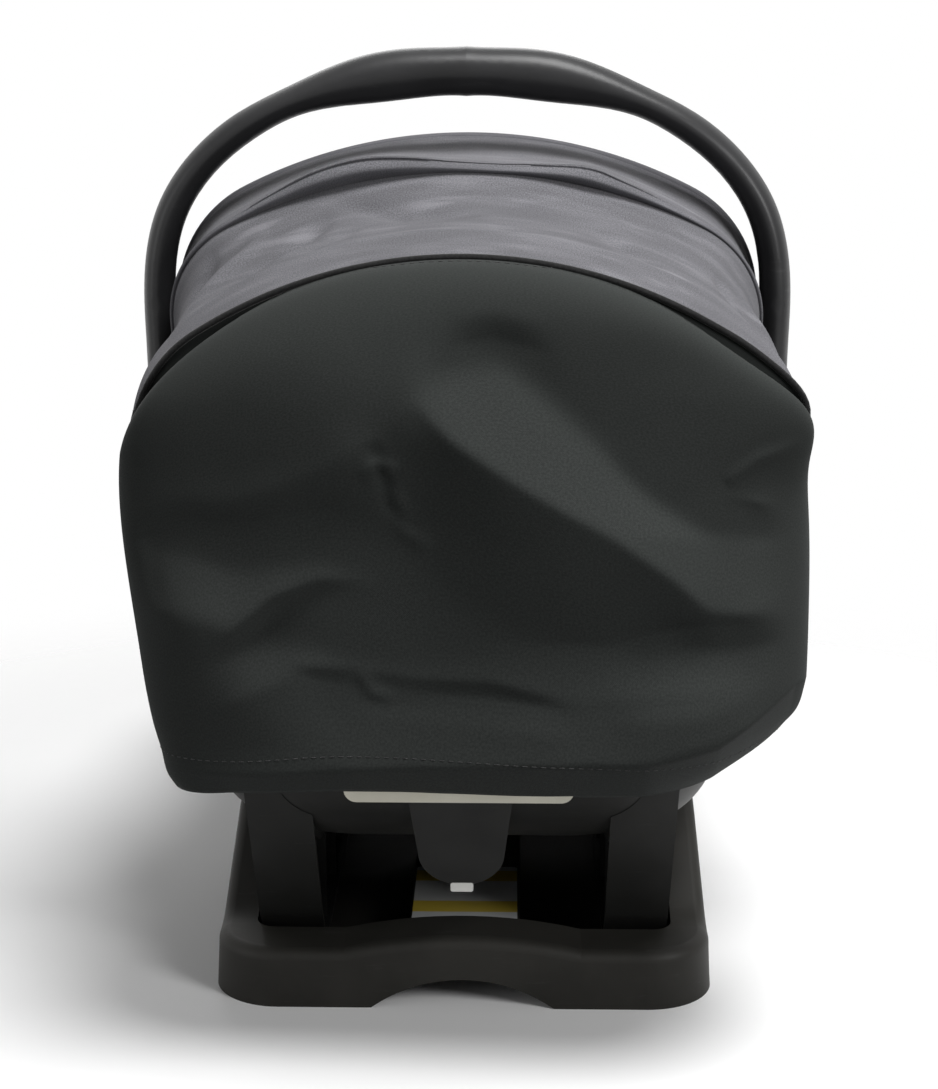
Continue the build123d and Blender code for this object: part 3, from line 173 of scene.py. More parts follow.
def woven_group():
    """Plain weave: the height of the threads, and the uneven tone of the yarn."""
    tree, given, result = new_group(
        "woven_threads", {"Threads": 1800.0, "Slub": 700.0}, ("Height", "Tone")
    )
    scaled = add(tree, "ShaderNodeVectorMath", operation="SCALE")
    feed(tree, scaled, Vector=given["Vector"], Scale=given["Threads"])
    split = add(tree, "ShaderNodeSeparateXYZ", Vector=scaled.outputs[0])
    waves = []
    for axis in ("X", "Y"):
        turn = maths(tree, "MULTIPLY", split.outputs[axis], math.pi)
        waves.append(maths(tree, "SINE", turn))
    over = maths(tree, "GREATER_THAN", maths(tree, "MULTIPLY", *waves), 0.0)
    under = maths(tree, "SUBTRACT", 1.0, over)
    warp = maths(tree, "MULTIPLY", maths(tree, "ABSOLUTE", waves[0]), over)
    weft = maths(tree, "MULTIPLY", maths(tree, "ABSOLUTE", waves[1]), under)
    slub = speckles(tree, given["Vector"], Scale=given["Slub"], Detail=3.0, Roughness=0.7)
    feed(tree, result, Height=maths(tree, "ADD", warp, weft), Tone=slub)
    return tree


def painted_crease_group():
    """Painted light on loose cloth's creases: pale streaks of painted sheen, and a share whose lack
    gives painted shade.
    """
    tree, given, result = new_group("painted_crease_light", {}, ("Streak", "Patch"))
    turned = add(tree, "ShaderNodeMapping", Vector=given["Vector"])
    feed(tree, turned, Rotation=(0, 0, math.radians(24)), Scale=(1, 4.5, 1))
    lines = speckles(tree, turned.outputs[0], Scale=12.0, Detail=2.0, Roughness=0.55)
    patches = speckles(tree, given["Vector"], Scale=11.0, Detail=2.0)
    # Painted sheen in pale lines over random patches; where the lines fall low, the cloth takes
    # painted shade.
    wear_and_sheen_mask = ramp(tree, patches, 0.4, 0.62)
    pale = ramp(tree, lines, 0.52, 0.74)
    streak = maths(tree, "MULTIPLY", pale, wear_and_sheen_mask)
    feed(tree, result, Streak=streak, Patch=ramp(tree, lines, 0.3, 0.66))
    return tree


def moulded_group():
    """Moulded plastic: fine grain, slow changes of tone, and thin rubbed streaks."""
    tree, given, result = new_group(
        "moulded_surface", {"Grain": 900.0, "Rub": 60.0}, ("Height", "Tone", "Rubbed")
    )
    grain = speckles(tree, given["Vector"], Scale=given["Grain"], Detail=2.0, Roughness=0.6)
    tone = speckles(tree, given["Vector"], Scale=14.0, Detail=4.0)
    stretch = add(tree, "ShaderNodeMapping", Vector=given["Vector"])
    feed(tree, stretch, Scale=(0.25, 1.0, 3.0), Rotation=(0.3, 0.5, 0.7))
    streak = speckles(tree, stretch.outputs[0], Scale=given["Rub"], Detail=5.0, Roughness=0.75)
    feed(tree, result, Height=grain, Tone=tone, Rubbed=ramp(tree, streak, 0.6, 0.74))
    return tree


def ribbed_group():
    """Webbing: slanted ribs across the strap, from its own map."""
    tree, given, result = new_group("webbing_ribs", {"Ribs": 620.0}, ("Height", "Tone"))
    split = add(tree, "ShaderNodeSeparateXYZ", Vector=given["Vector"])
    zigzag = maths(tree, "PINGPONG", split.outputs["X"], web_width / 6)
    slanted = maths(tree, "ADD", split.outputs["Y"], zigzag)
    turn = maths(tree, "MULTIPLY", slanted, given["Ribs"])
    wave = maths(tree, "SINE", maths(tree, "MULTIPLY", turn, 2 * math.pi))
    feed(tree, result, Height=wave, Tone=speckles(tree, given["Vector"], Scale=260.0, Detail=3.0))
    return tree


woven_threads = woven_group()
painted_crease_light = painted_crease_group()
moulded_surface = moulded_group()
webbing_ribs = ribbed_group()


# Materials

finishes = {}  # by name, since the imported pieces' own materials hold the same names in the file


def new_finish(name, roughness, specular=0.5):
    """New material in the finishes: its node tree and its Principled shader."""
    made = finishes[name] = bpy.data.materials.new(name)
    made.use_nodes = True
    tree = made.node_tree
    shader = tree.nodes["Principled BSDF"]
    feed(tree, shader, Roughness=roughness, Specular_IOR_Level=specular)
    return tree, shader


def coordinates_of(tree, kind):
    return add(tree, "ShaderNodeTexCoord").outputs[kind]


def place_group(tree, group, coordinates, **values):
    """Output sockets of a shared effect, placed in a material on UV or Object coordinates."""
    made = add(tree, "ShaderNodeGroup", node_tree=group)
    feed(tree, made, Vector=coordinates_of(tree, coordinates), **values)
    return made.outputs


def raise_surface(tree, shader, height, strength, distance):
    """Bump on the shader's normal."""
    bump = add(tree, "ShaderNodeBump", Strength=strength, Distance=distance, Height=height)
    feed(tree, shader, Normal=bump.outputs[0])


def darker(colour, share):
    return tuple(share * channel for channel in colour)


def cloth(
    name, dark, light, coordinates="UV", threads=1800.0, slub=700.0, sheen=0.25, bump=0.35,
    gloss=0.1, crease_sheen_colour=None,
):
    """Woven cloth of yarn between two colours, with a soft sheen, and painted sheen streaks and
    painted shade on its creases where a crease colour is given.
    """
    tree, shader = new_finish(name, 0.85, gloss)
    weave = place_group(tree, woven_threads, coordinates, Threads=threads, Slub=slub)
    colour = mix_colours(tree, ramp(tree, weave["Tone"], 0.34, 0.68), dark, light)
    # Painted shade between the creases, towards half the dark yarn, then painted sheen in pale
    # streaks along them.
    if crease_sheen_colour:
        creases = place_group(tree, painted_crease_light, coordinates)
        shade = maths(tree, "MULTIPLY", maths(tree, "SUBTRACT", 1.0, creases["Patch"]), 0.3)
        colour = mix_colours(tree, shade, colour, darker(dark, 0.5))
        streak = maths(tree, "MULTIPLY", creases["Streak"], 0.4)
        colour = mix_colours(tree, streak, colour, crease_sheen_colour)
    raise_surface(tree, shader, weave["Height"], bump, 0.25 * mm)
    feed(tree, shader, Base_Color=colour, Sheen_Weight=sheen, Sheen_Roughness=0.45)


def plastic(
    name, dark, light, roughness, grain=900.0, bump=0.2, rubbed=(0.07, 0.07, 0.07), wear=0.25,
    gloss=0.2,
):
    """Moulded plastic with a fine grain, a little uneven in tone and rubbed in streaks."""
    tree, shader = new_finish(name, roughness, gloss)
    surface = place_group(tree, moulded_surface, "Object", Grain=grain)
    plain = mix_colours(tree, ramp(tree, surface["Tone"], 0.3, 0.7), dark, light)
    wear_and_sheen_mask = maths(tree, "MULTIPLY", surface["Rubbed"], wear)
    rough = add(tree, "ShaderNodeMapRange", Value=surface["Tone"])
    feed(tree, rough, To_Min=roughness - 0.06, To_Max=roughness + 0.1)
    raise_surface(tree, shader, surface["Height"], bump, 0.2 * mm)
    colour = mix_colours(tree, wear_and_sheen_mask, plain, rubbed)
    feed(tree, shader, Base_Color=colour, Roughness=rough.outputs[0])


def steel(name, colour, roughness):
    """Plated steel with faint drawing lines."""
    tree, shader = new_finish(name, roughness)
    surface = place_group(tree, moulded_surface, "Object", Grain=1600.0, Rub=120.0)
    tone = mix_colours(tree, surface["Tone"], darker(colour, 0.72), colour)
    raise_surface(tree, shader, surface["Height"], 0.08, 0.1 * mm)
    feed(tree, shader, Base_Color=tone, Metallic=1.0)


def foam(name, dark, light):
    """Moulded bead foam: packed cells with darker joints."""
    tree, shader = new_finish(name, 0.75)
    beads = add(tree, "ShaderNodeTexVoronoi", feature="DISTANCE_TO_EDGE", Scale=260.0)
    feed(tree, beads, Vector=coordinates_of(tree, "Object"))
    joint = ramp(tree, beads.outputs["Distance"], 0.0, 0.16)
    raise_surface(tree, shader, joint, 0.4, 0.5 * mm)
    feed(tree, shader, Base_Color=mix_colours(tree, joint, dark, light))


def webbing(name, dark, light):
    """Ribbed strap webbing, on the strap's own map."""
    tree, shader = new_finish(name, 0.62, 0.4)
    ribs = place_group(tree, webbing_ribs, "UV")
    colour = mix_colours(tree, ramp(tree, ribs["Tone"], 0.35, 0.7), dark, light)
    raise_surface(tree, shader, ribs["Height"], 0.5, 0.3 * mm)
    feed(tree, shader, Base_Color=colour, Sheen_Weight=0.15)


def banded_plate(name, pale, band, band_places, band_width):
    """Bare pale plate with plain bands across it."""
    tree, shader = new_finish(name, 0.42)
    split = add(tree, "ShaderNodeSeparateXYZ", Vector=coordinates_of(tree, "Object"))
    surface = place_group(tree, moulded_surface, "Object", Grain=500.0)
    tone = ramp(tree, surface["Tone"], 0.3, 0.75)
    colour = mix_colours(tree, tone, darker(pale, 0.78), pale)
    for place in band_places:
        away = maths(tree, "ABSOLUTE", maths(tree, "SUBTRACT", split.outputs["Y"], place))
        inside = maths(tree, "LESS_THAN", away, band_width / 2)
        colour = mix_colours(tree, inside, colour, band)
    raise_surface(tree, shader, surface["Height"], 0.05, 0.1 * mm)
    feed(tree, shader, Base_Color=colour)


plastic("base_plastic", (0.016, 0.0155, 0.0135), (0.027, 0.026, 0.023), 0.5, gloss=0.16)
plastic("shell_plastic", (0.013, 0.013, 0.012), (0.022, 0.022, 0.021), 0.46, gloss=0.18)
plastic("chute_plastic", (0.018, 0.018, 0.0175), (0.03, 0.03, 0.029), 0.42, gloss=0.15)
plastic(
    "handle_plastic", (0.011, 0.011, 0.0115), (0.018, 0.018, 0.019), 0.36, grain=1300.0, bump=0.1,
    gloss=0.26,
)
plastic("lever_plastic", (0.6, 0.58, 0.49), (0.74, 0.72, 0.62), 0.42, rubbed=(0.3, 0.28, 0.24))
plastic("white_nylon", (0.74, 0.74, 0.7), (0.82, 0.82, 0.8), 0.4, rubbed=(0.6, 0.6, 0.56))
plastic("window_plastic", (0.42, 0.58, 0.2), (0.6, 0.74, 0.34), 0.12, bump=0.0, wear=0.0)
steel("steel", (0.58, 0.58, 0.6), 0.34)
plastic("bow_rod", (0.02, 0.02, 0.02), (0.03, 0.03, 0.03), 0.4)
cloth(
    "panel_cloth", (0.026, 0.0282, 0.0271), (0.037, 0.0402, 0.0385), sheen=0.05, bump=0.2,
    gloss=0.05,
)
# The hood's creases carry painted sheen streaks of the pale crease colour, and painted shade
# between them.
cloth(
    "hood_cloth", (0.092, 0.091, 0.099), (0.197, 0.195, 0.21), threads=1500.0, slub=900.0,
    sheen=0.06, gloss=0.06, crease_sheen_colour=(0.3, 0.296, 0.318),
)
foam("energy_foam", (0.02, 0.02, 0.02), (0.05, 0.05, 0.052))
cloth("pad_cloth", (0.085, 0.084, 0.091), (0.19, 0.188, 0.202), "Object", 1300.0, sheen=0.1)
webbing("webbing", (0.012, 0.012, 0.012), (0.026, 0.026, 0.026))
plastic("clip_plastic", (0.016, 0.016, 0.016), (0.026, 0.026, 0.026), 0.38)
plastic(
    "button_plastic", (0.42, 0.015, 0.012), (0.5, 0.022, 0.018), 0.34, rubbed=(0.3, 0.02, 0.02)
)
cloth("thread", (0.03, 0.03, 0.03), (0.06, 0.06, 0.06), "Object", 3000.0)
cloth("piping_cloth", (0.008, 0.008, 0.008), (0.018, 0.018, 0.018), "Object")


def dress_packed_pieces():
    """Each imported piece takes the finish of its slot."""
    for row in frame["record"]["subparts"]:
        piece = nodes[row["node"]]
        piece.data.materials.clear()
        piece.data.materials.append(finishes[row["material_slot"]])


# Mesh building

def into_scene(name, data):
    """Object of some data, at the origin."""
    piece = bpy.data.objects.new(name, data)
    bpy.context.scene.collection.objects.link(piece)
    return piece


def finished(shape, name, finish, smooth=True):
    """Object from a bmesh."""
    mesh = bpy.data.meshes.new(name)
    for face in shape.faces:
        face.smooth = smooth
    shape.to_mesh(mesh)
    shape.free()
    mesh.materials.append(finishes[finish])
    return into_scene(name, mesh)


def settled_mesh(piece):
    """Mesh of a piece as its modifiers leave it."""
    return bpy.data.meshes.new_from_object(
        piece.evaluated_get(bpy.context.evaluated_depsgraph_get())
    )


def fit(piece, body, node=None):
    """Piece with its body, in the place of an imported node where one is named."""
    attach(piece, body)
    if node:
        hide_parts(node)


def sheet_from(name, columns, rows, cut, place, outward, finish):
    """Sheet from a grid that place(u, v) lays out, with its map in the metres of its cut."""
    shape = bmesh.new()
    bmesh.ops.create_grid(shape, x_segments=columns, y_segments=rows, size=0.5, calc_uvs=True)
    weave = shape.loops.layers.uv.verify()
    for face in shape.faces:
        for loop in face.loops:
            spot = loop.vert.co
            loop[weave].uv = ((spot.x + 0.5) * cut[0], (spot.y + 0.5) * cut[1])
    for vert in shape.verts:
        vert.co = place(vert.co.x + 0.5, vert.co.y + 0.5)
    shape.normal_update()
    facing = sum(face.normal.dot(outward(face.calc_center_median())) for face in shape.faces)
    if facing < 0:
        bmesh.ops.reverse_faces(shape, faces=shape.faces)
    return finished(shape, name, finish)


def add_block(shape, low, high):
    """Box between two corners, as its new verts."""
    made = bmesh.ops.create_cube(shape, size=1.0)["verts"]
    for vert in made:
        vert.co = [start + (at + 0.5) * (end - start) for start, end, at in zip(low, high, vert.co)]
    return made


def round_edges(shape, edges, offset, segments):
    bmesh.ops.bevel(
        shape, geom=edges, offset=offset, segments=segments, affect="EDGES", profile=0.5,
        material=-1,
    )


def thicken(piece, thickness, offset=-1.0):
    """Thickness of a sheet, inwards, or on both sides at offset 0."""
    wall = piece.modifiers.new("thickness", "SOLIDIFY")
    wall.thickness = thickness
    wall.offset = offset


def tube(name, points, radius, finish):
    """Round trim along points."""
    line = bpy.data.curves.new(name, "CURVE")
    line.dimensions = "3D"
    spline = line.splines.new("POLY")
    spline.points.add(len(points) - 1)
    for spot, point in zip(spline.points, points):
        spot.co = (*point, 1)
    line.bevel_depth = radius
    line.bevel_resolution = 3
    line.use_fill_caps = True
    guide = into_scene(name + "_line", line)
    mesh = settled_mesh(guide)
    bpy.data.objects.remove(guide)
    mesh.name = name
    mesh.materials.clear()
    mesh.materials.append(finishes[finish])
    mesh.shade_smooth()
    return into_scene(name, mesh)


def running_lengths(points):
    """Length of the line up to each of its points."""
    reached = [0.0]
    for start, end in zip(points, points[1:]):
        reached.append(reached[-1] + (end - start).length)
    return reached


stitch_length = 3.4 * mm
stitch_gap = 2.2 * mm
stitch_radius = 0.35 * mm
stitch_lift = 0.2 * mm
stitch_sides = 6
stitch_swell = ((0, 0.3), (0.25, 1), (0.75, 1), (1, 0.3))  # share along, share of the radius


def stitches(name, points, outward):
    """Row of sewn stitches along points of the carrier's cloth, standing a little out of it."""
    reached = running_lengths(points)

    def along(run):
        after = min(int(numpy.searchsorted(reached, run, side="right")), len(points) - 1)
        share = (run - reached[after - 1]) / (reached[after] - reached[after - 1])
        return points[after - 1].lerp(points[after], share)

    shape = bmesh.new()
    run = stitch_gap
    while run + stitch_length < reached[-1]:
        start, end = along(run), along(run + stitch_length)
        across = (end - start).normalized().cross(outward).normalized()
        ring_before = None
        for share, size in stitch_swell:
            middle = start.lerp(end, share) + outward * stitch_lift
            ring = []
            for side in range(stitch_sides):
                turn = side * 2 * math.pi / stitch_sides
                spoke = across * math.cos(turn) + outward * math.sin(turn)
                ring.append(shape.verts.new(middle + spoke * stitch_radius * size))
            if ring_before:
                for side in range(stitch_sides):
                    following = (side + 1) % stitch_sides
                    shape.faces.new(
                        (ring_before[side], ring_before[following], ring[following], ring[side])
                    )
            else:
                shape.faces.new(ring[::-1])
            ring_before = ring
        shape.faces.new(ring_before)
        run += stitch_length + stitch_gap
    bmesh.ops.recalc_face_normals(shape, faces=shape.faces)
    fit(finished(shape, name, "thread"), "carrier")


def smooth_step(value):
    """0 up to 0 and 1 from 1 on, with a soft climb between."""
    value = min(1.0, max(0.0, value))
    return value * value * (3 - 2 * value)


def follow(knots, value):
    """Smooth curve through (key, result) knots."""
    if value <= knots[0][0]:
        return knots[0][1]
    for index in range(len(knots) - 1):
        (low, start), (high, end) = knots[index], knots[index + 1]
        if value <= high:
            before = knots[max(index - 1, 0)]
            after = knots[min(index + 2, len(knots) - 1)]
            run = high - low
            slope_in = (end - before[1]) / (high - before[0]) * run
            slope_out = (after[1] - start) / (after[0] - low) * run
            t = (value - low) / run
            return (
                (2 * t**3 - 3 * t**2 + 1) * start
                + (t**3 - 2 * t**2 + t) * slope_in
                + (3 * t**2 - 2 * t**3) * end
                + (t**3 - t**2) * slope_out
            )
    return knots[-1][1]


# Hood

class Arch:
    """Arch of a bow: straight legs, corner arcs and a flatter arc over the crown."""

    def __init__(self, half, rise, corner, leg, start):
        self.half, self.corner, self.leg = half, corner, leg
        self.crown = ((half - corner) ** 2 + rise**2 - corner**2) / (2 * (rise - corner))
        self.middle = leg + rise - self.crown
        self.join = math.atan2(self.crown - rise, half - corner)
        self.over_crown = self.crown * (math.pi / 2 - self.join)
        self.round_corner = corner * self.join
        self.length = self.over_crown + self.round_corner + leg - start

    def at(self, share):
        """(x, z) in the arch's plane, share from -1 at the left foot to 1 at the right foot."""
        side = -1 if share < 0 else 1
        run = abs(share) * self.length
        if run <= self.over_crown:
            turn = math.pi / 2 - run / self.crown
            return side * self.crown * math.cos(turn), self.middle + self.crown * math.sin(turn)
        run -= self.over_crown
        if run <= self.round_corner:
            turn = self.join - run / self.corner
            return (
                side * (self.half - self.corner + self.corner * math.cos(turn)),
                self.leg + self.corner * math.sin(turn),
            )
        return side * self.half, self.leg - (run - self.round_corner)


panel_arch = Arch(
    panel_half, panel_top - panel_spring, panel_corner, panel_spring, panel_spring - leg_cut
)
mid_arch = Arch(hood_half, hood_rise, hood_corner, mid_leg, leg_cut)
front_arch = Arch(hood_half, hood_rise, hood_corner, front_leg, leg_cut)


def on_bow(arch, share, tilt, lift=0.0):
    """Point over a bow that leans towards the head end by tilt, raised out of it by lift."""
    across, up = arch.at(share)
    out = Vector((across, 0, up - arch.leg)).normalized() * lift
    lean = math.radians(tilt)
    across, up = across + out.x, up + out.z
    return hood_pivot + Vector((across, -up * math.sin(lean), up * math.cos(lean)))


shoulder_swell = 14 * mm
shoulder_height = 415 * mm
shoulder_reach = 26 * mm


def full_shoulder(x, z):
    """x on the panel's outline, which stands out more at its right shoulder."""
    beside = smooth_step((x - 90 * mm) / (90 * mm))
    near = math.exp(-(((z - shoulder_height) / shoulder_reach) ** 2))
    return x + shoulder_swell * beside * near


def brought_forward(spot):
    """Point of the panel's edge, nearer to the viewpoint the higher it is over the rim."""
    rise = smooth_step((spot.z - 360 * mm) / (70 * mm))
    return spot + (viewpoint - spot) * (piping_forward * rise / (spot.y - viewpoint.y))


def over_rear_bow(share):
    """Point of the panel's arch, in the plane of the rear bow."""
    across, up = panel_arch.at(share)
    return Vector((across, panel_edge, up))


def at_piping(share):
    """Point of the piping between the panel and the hood."""
    spot = over_rear_bow(share)
    spot.x = full_shoulder(spot.x, spot.z)
    return brought_forward(spot)


# Sides of the panel below its arch: (height, half width), hem corner first
left_side = (
    (178, 172), (186, 177), (200, 180), (217, 184.5), (240, 188.5), (269, 192), (327, 199),
    (385, 205),
)
right_side = (
    (186, 170), (200, 190), (212, 200), (223, 205.5), (239, 207), (297, 207), (385, 205)
)
hem_heights = ((0, 178), (0.12, 180), (0.3, 184), (0.6, 181), (0.85, 181), (1, 186))
arch_split = math.radians(45)  # where the panel's sides meet its top, on the corner arcs

# Valleys and crests of the loose panel that part two of its reaches, as (x, z) in millimetres
left_valley = (
    (-200, 338), (-166, 344), (-131, 337), (-107, 340), (-81, 345), (-69, 336), (-46, 318)
)
right_valley = ((104, 397), (155, 404), (196, 420))
right_crest = ((138, 366), (158, 370), (190, 362))
# Reaches of the loose panel: upper line and lower line as (x, z), how far the cloth comes out per
# millimetre down between them, and the softness of both lines, in millimetres
panel_reaches = (
    (((-26, 436), (25, 452), (62, 420), (106, 390), (142, 366), (200, 340)),
     ((-26, 428), (-4, 408), (42, 378), (92, 349), (128, 322), (149, 302), (200, 296)),
     0.6, 26, 10),
    (((-46, 410), (-24, 428), (-4, 408), (42, 378), (92, 349), (128, 322), (152, 297)),
     ((-46, 306), (-34, 281), (13, 281), (55, 281), (88, 278), (152, 294)), -0.17, 10, 3),
    (((-40, 412), (0, 400), (40, 370)), ((-40, 360), (0, 352), (40, 340)), -0.12, 16, 16),
    (((-200, 356), (-166, 362), (-131, 362), (-107, 372), (-81, 384), (-46, 404)), left_valley,
     -0.6, 24, 3),
    (left_valley, ((-200, 300), (-150, 296), (-136, 290), (-111, 312), (-84, 322), (-46, 312)),
     0.58, 3, 18),
    (((-146, 280), (-111, 310), (-84, 320), (-58, 320), (-40, 305)),
     ((-146, 266), (-114, 287), (-82, 296), (-52, 293), (-40, 284)), -0.7, 8, 3),
    (((-150, 266), (-114, 287), (-82, 296), (-52, 293), (-34, 281), (13, 281), (88, 278),
      (152, 294), (180, 292)),
     ((-150, 238), (-94, 264), (-64, 260), (-22, 255), (19, 254), (55, 246), (152, 254),
      (180, 258)), 0.42, 3, 12),
    (((-104, 268), (-64, 264), (-22, 258), (19, 258), (64, 248)),
     ((-104, 263), (-64, 254), (-22, 249), (19, 250), (64, 242)), -0.55, 4, 3),
    (((-80, 256), (-40, 250), (20, 248), (70, 240)),
     ((-80, 240), (-40, 234), (20, 230), (70, 226)), 0.3, 3, 10),
    (((-188, 300), (-150, 280), (-110, 250)), ((-188, 210), (-150, 210), (-110, 215)),
     -0.16, 26, 14),
    (((104, 424), (150, 432), (196, 440)), right_valley, -0.22, 18, 9),
    (right_valley, ((104, 380), (150, 388), (196, 396)), 0.26, 9, 14),
    (((138, 384), (158, 389), (190, 380)), right_crest, 0.4, 6, 3),
    (right_crest, ((138, 352), (158, 350), (190, 340)), -0.5, 3, 8),
    (((-6, 474), (20, 478), (54, 470)), ((-6, 458), (20, 464), (54, 454)), -0.3, 12, 6),
    (((-190, 440), (-120, 450), (-40, 440)), ((-190, 380), (-120, 384), (-40, 396)), -0.1, 40, 24),
    (((120, 300), (160, 296), (200, 310)), ((120, 282), (160, 276), (200, 280)), -0.3, 10, 6),
    (((90, 270), (150, 276), (200, 282)), ((90, 236), (150, 240), (200, 258)), 0.3, 10, 14),
    (((96, 388), (150, 382), (200, 378)), ((96, 352), (150, 342), (200, 336)), 0.32, 16, 10),
    (((-90, 236), (-30, 240), (40, 244), (110, 246), (190, 262)),
     ((-90, 204), (-30, 206), (40, 208), (110, 211), (190, 236)), 0.24, 16, 6),
)
# Small creases: points (x, z), height and reach
panel_creases = (
    (((-56, 383), (-48, 393), (-36, 388)), 3.0, 4),
    (((-51, 405), (-46, 392), (-40, 366), (-24, 348)), -2.6, 4),
    (((-42, 378), (-36, 368), (-30, 350), (-16, 338)), 2.2, 5),
    (((-60, 262), (-52, 250), (-38, 245)), 2.2, 4),
    (((196, 400), (172, 392), (158, 378)), 2.4, 5),
    (((-184, 338), (-186, 320), (-180, 300)), -2.0, 6),
)
# Line below which the cloth turns under
hem_line = (
    (-200, 192), (-171, 195), (-125, 198), (-47, 204), (25, 208), (115, 211), (157, 221),
    (206, 250),
)
hem_slope = 0.9
fold_strength = 1.25
fold_stand = 9.0  # of the cloth's mean face over the fitted one, in millimetres
deepest = 5.0  # how far the panel can sink in before it lies on the shell, in millimetres


def along_line(line, x):
    """Height of a line of (x, z) points at x."""
    for (x0, z0), (x1, z1) in zip(line, line[1:]):
        if x <= x1:
            return z0 + (z1 - z0) * max(0.0, (x - x0) / (x1 - x0))
    return line[-1][1]


# Relief table of the panel: columns of x from the left, rows of z from the top, in millimetres
relief_left, relief_top = -220, 512
column_step, row_step = 4, 2
relief_rows = 172
longest_fade = 26.0  # of a reach towards its sides
evenness = 0.25  # pull between columns, against the pull between rows
settling_rounds = 900


def relief_table():
    """Relief of cloth that follows the slopes of its reaches down and stays even across."""
    slopes = []
    for x in range(relief_left, 1 - relief_left, column_step):
        column = [0.0] * relief_rows
        for upper, lower, slope, soft_top, soft_low in panel_reaches:
            start, end = upper[0][0], upper[-1][0]
            fade = min(longest_fade, 0.35 * (end - start))
            weight = smooth_step((x - start) / fade + 0.2) * smooth_step((end - x) / fade + 0.2)
            if weight == 0:
                continue
            high, low = along_line(upper, x), along_line(lower, x)
            for row in range(relief_rows):
                z = relief_top - row_step * row
                below = smooth_step(0.5 + (high - z) / soft_top)
                above = smooth_step(0.5 + (z - low) / soft_low)
                column[row] += row_step * slope * weight * (below * above)
        slopes.append(column)
    steps = numpy.array(slopes)
    table = numpy.cumsum(steps, axis=1)
    table -= table[:, -1:] * numpy.linspace(0, 1, table.shape[1])
    spread = evenness * (row_step / column_step) ** 2
    change = steps[:, 1:-1] - steps[:, 2:]
    for _ in range(settling_rounds):
        inner = table[1:-1, :-2] + table[1:-1, 2:] + change[1:-1]
        inner += spread * (table[:-2, 1:-1] + table[2:, 1:-1])
        table[1:-1, 1:-1] = inner / (2 + 2 * spread)
        table[:, -1] = table[:, -2]
    return table.tolist()


relief_columns = relief_table()


def fold_relief(x, z):
    """How far the folds bring the panel towards the viewer at (x, z), in millimetres."""
    column = min(max((x - relief_left) / column_step, 0.0), len(relief_columns) - 1.001)
    row = min(max((relief_top - z) / row_step, 0.0), relief_rows - 1.001)
    c, w = int(column), int(row)
    left, right = (
        beside[w] + (beside[w + 1] - beside[w]) * (row - w) for beside in relief_columns[c : c + 2]
    )
    relief = fold_strength * (left + (right - left) * (column - c)) + fold_stand
    if relief < 0:
        relief = deepest * math.tanh(relief / deepest)
    for crest, height, reach in panel_creases:
        away, along = min(
            off_segment(x, z, start, end, index)
            for index, (start, end) in enumerate(zip(crest, crest[1:]))
        )
        taper = math.sin(math.pi * along / (len(crest) - 1)) ** 0.5
        relief += height * taper * math.exp(-((away / reach) ** 2))
    return relief


def off_segment(x, z, start, end, index):
    """Distance from a segment, and the place along the line that it belongs to."""
    run_x, run_z = end[0] - start[0], end[1] - start[1]
    share = ((x - start[0]) * run_x + (z - start[1]) * run_z) / (run_x**2 + run_z**2)
    share = min(1.0, max(0.0, share))
    return math.hypot(x - start[0] - share * run_x, z - start[1] - share * run_z), index + share


def panel_border(v, side_knots, side):
    """(x, z) on a side of the panel, v from the hem corner to the split on the arch."""
    hem = side_knots[0][0] * mm
    upright = panel_spring - hem
    run = v * (upright + panel_corner * arch_split)
    if run <= upright:
        return side * follow(side_knots, (hem + run) / mm) * mm, hem + run
    turn = (run - upright) / panel_corner
    return (
        side * (panel_half - panel_corner + panel_corner * math.cos(turn)),
        panel_spring + panel_corner * math.sin(turn),
    )


split_run = panel_arch.over_crown + panel_corner * (panel_arch.join - arch_split)
split_share = split_run / panel_arch.length
upright_rows = 0.3  # share of the panel's rows that lies below the turn to the piping


def panel_point(u, v):
    """Point of the loose back panel: u across, v from the hem to the piping."""
    u = 0.5 + 0.5 * math.sin(math.pi * (u - 0.5))  # more columns at the sides
    v = math.sin(v * math.pi / 2)  # more rows at the top
    left = panel_border(v, left_side, -1)
    right = panel_border(v, right_side, 1)
    top = panel_arch.at((2 * u - 1) * split_share)
    corners = [
        panel_border(end, knots, side)
        for end in (0, 1)
        for knots, side in ((left_side, -1), (right_side, 1))
    ]
    hem = (corners[0][0] * (1 - u) + corners[1][0] * u, follow(hem_heights, u) * mm)
    spot = []
    for axis in (0, 1):
        across = left[axis] * (1 - u) + right[axis] * u
        upward = hem[axis] * (1 - v) + top[axis] * v
        square = (
            (corners[0][axis] * (1 - u) + corners[1][axis] * u) * (1 - v)
            + (corners[2][axis] * (1 - u) + corners[3][axis] * u) * v
        )
        spot.append(across + upward - square)
    x, z = spot
    beside = abs(2 * u - 1)
    over = max(0.0, (v - upright_rows) / (1 - upright_rows))
    share = min(1.0, (beside**5 + over**5) ** 0.2)
    out = (1 - share**panel_fullness) ** (1 / panel_fullness)
    free = 1 - share**8
    x += math.copysign(panel_bulge * math.sin(math.pi * min(1, out / 1.15)) * beside**4, x)
    ripple = noise.noise(Vector((x, 0.3, z)) * 12) * 1.2
    ripple += noise.noise(Vector((x, 1.7, z)) * 40) * 0.35
    relief = (fold_relief(x / mm, z / mm) + ripple) * free * mm
    under = max(0.0, along_line(hem_line, x / mm) * mm - z)
    rolled = hem_slope * under * smooth_step(u / 0.12)
    edge = brought_forward(Vector((full_shoulder(x, z), panel_edge, z)))
    y = edge.y + (panel_face - edge.y) * out - relief + rolled
    x = edge.x + (full_shoulder(x, z) - edge.x) * out
    return Vector((x, y, edge.z + (z - edge.z) * out))


seam_steps = 260


def panel_seam(side, height):
    """Points across the panel at a share of its height, from side to side of it."""
    return [
        panel_point(side + (1 - 2 * side) * step / seam_steps, height)
        for step in range(seam_steps + 1)
    ]


bow_steps = 60


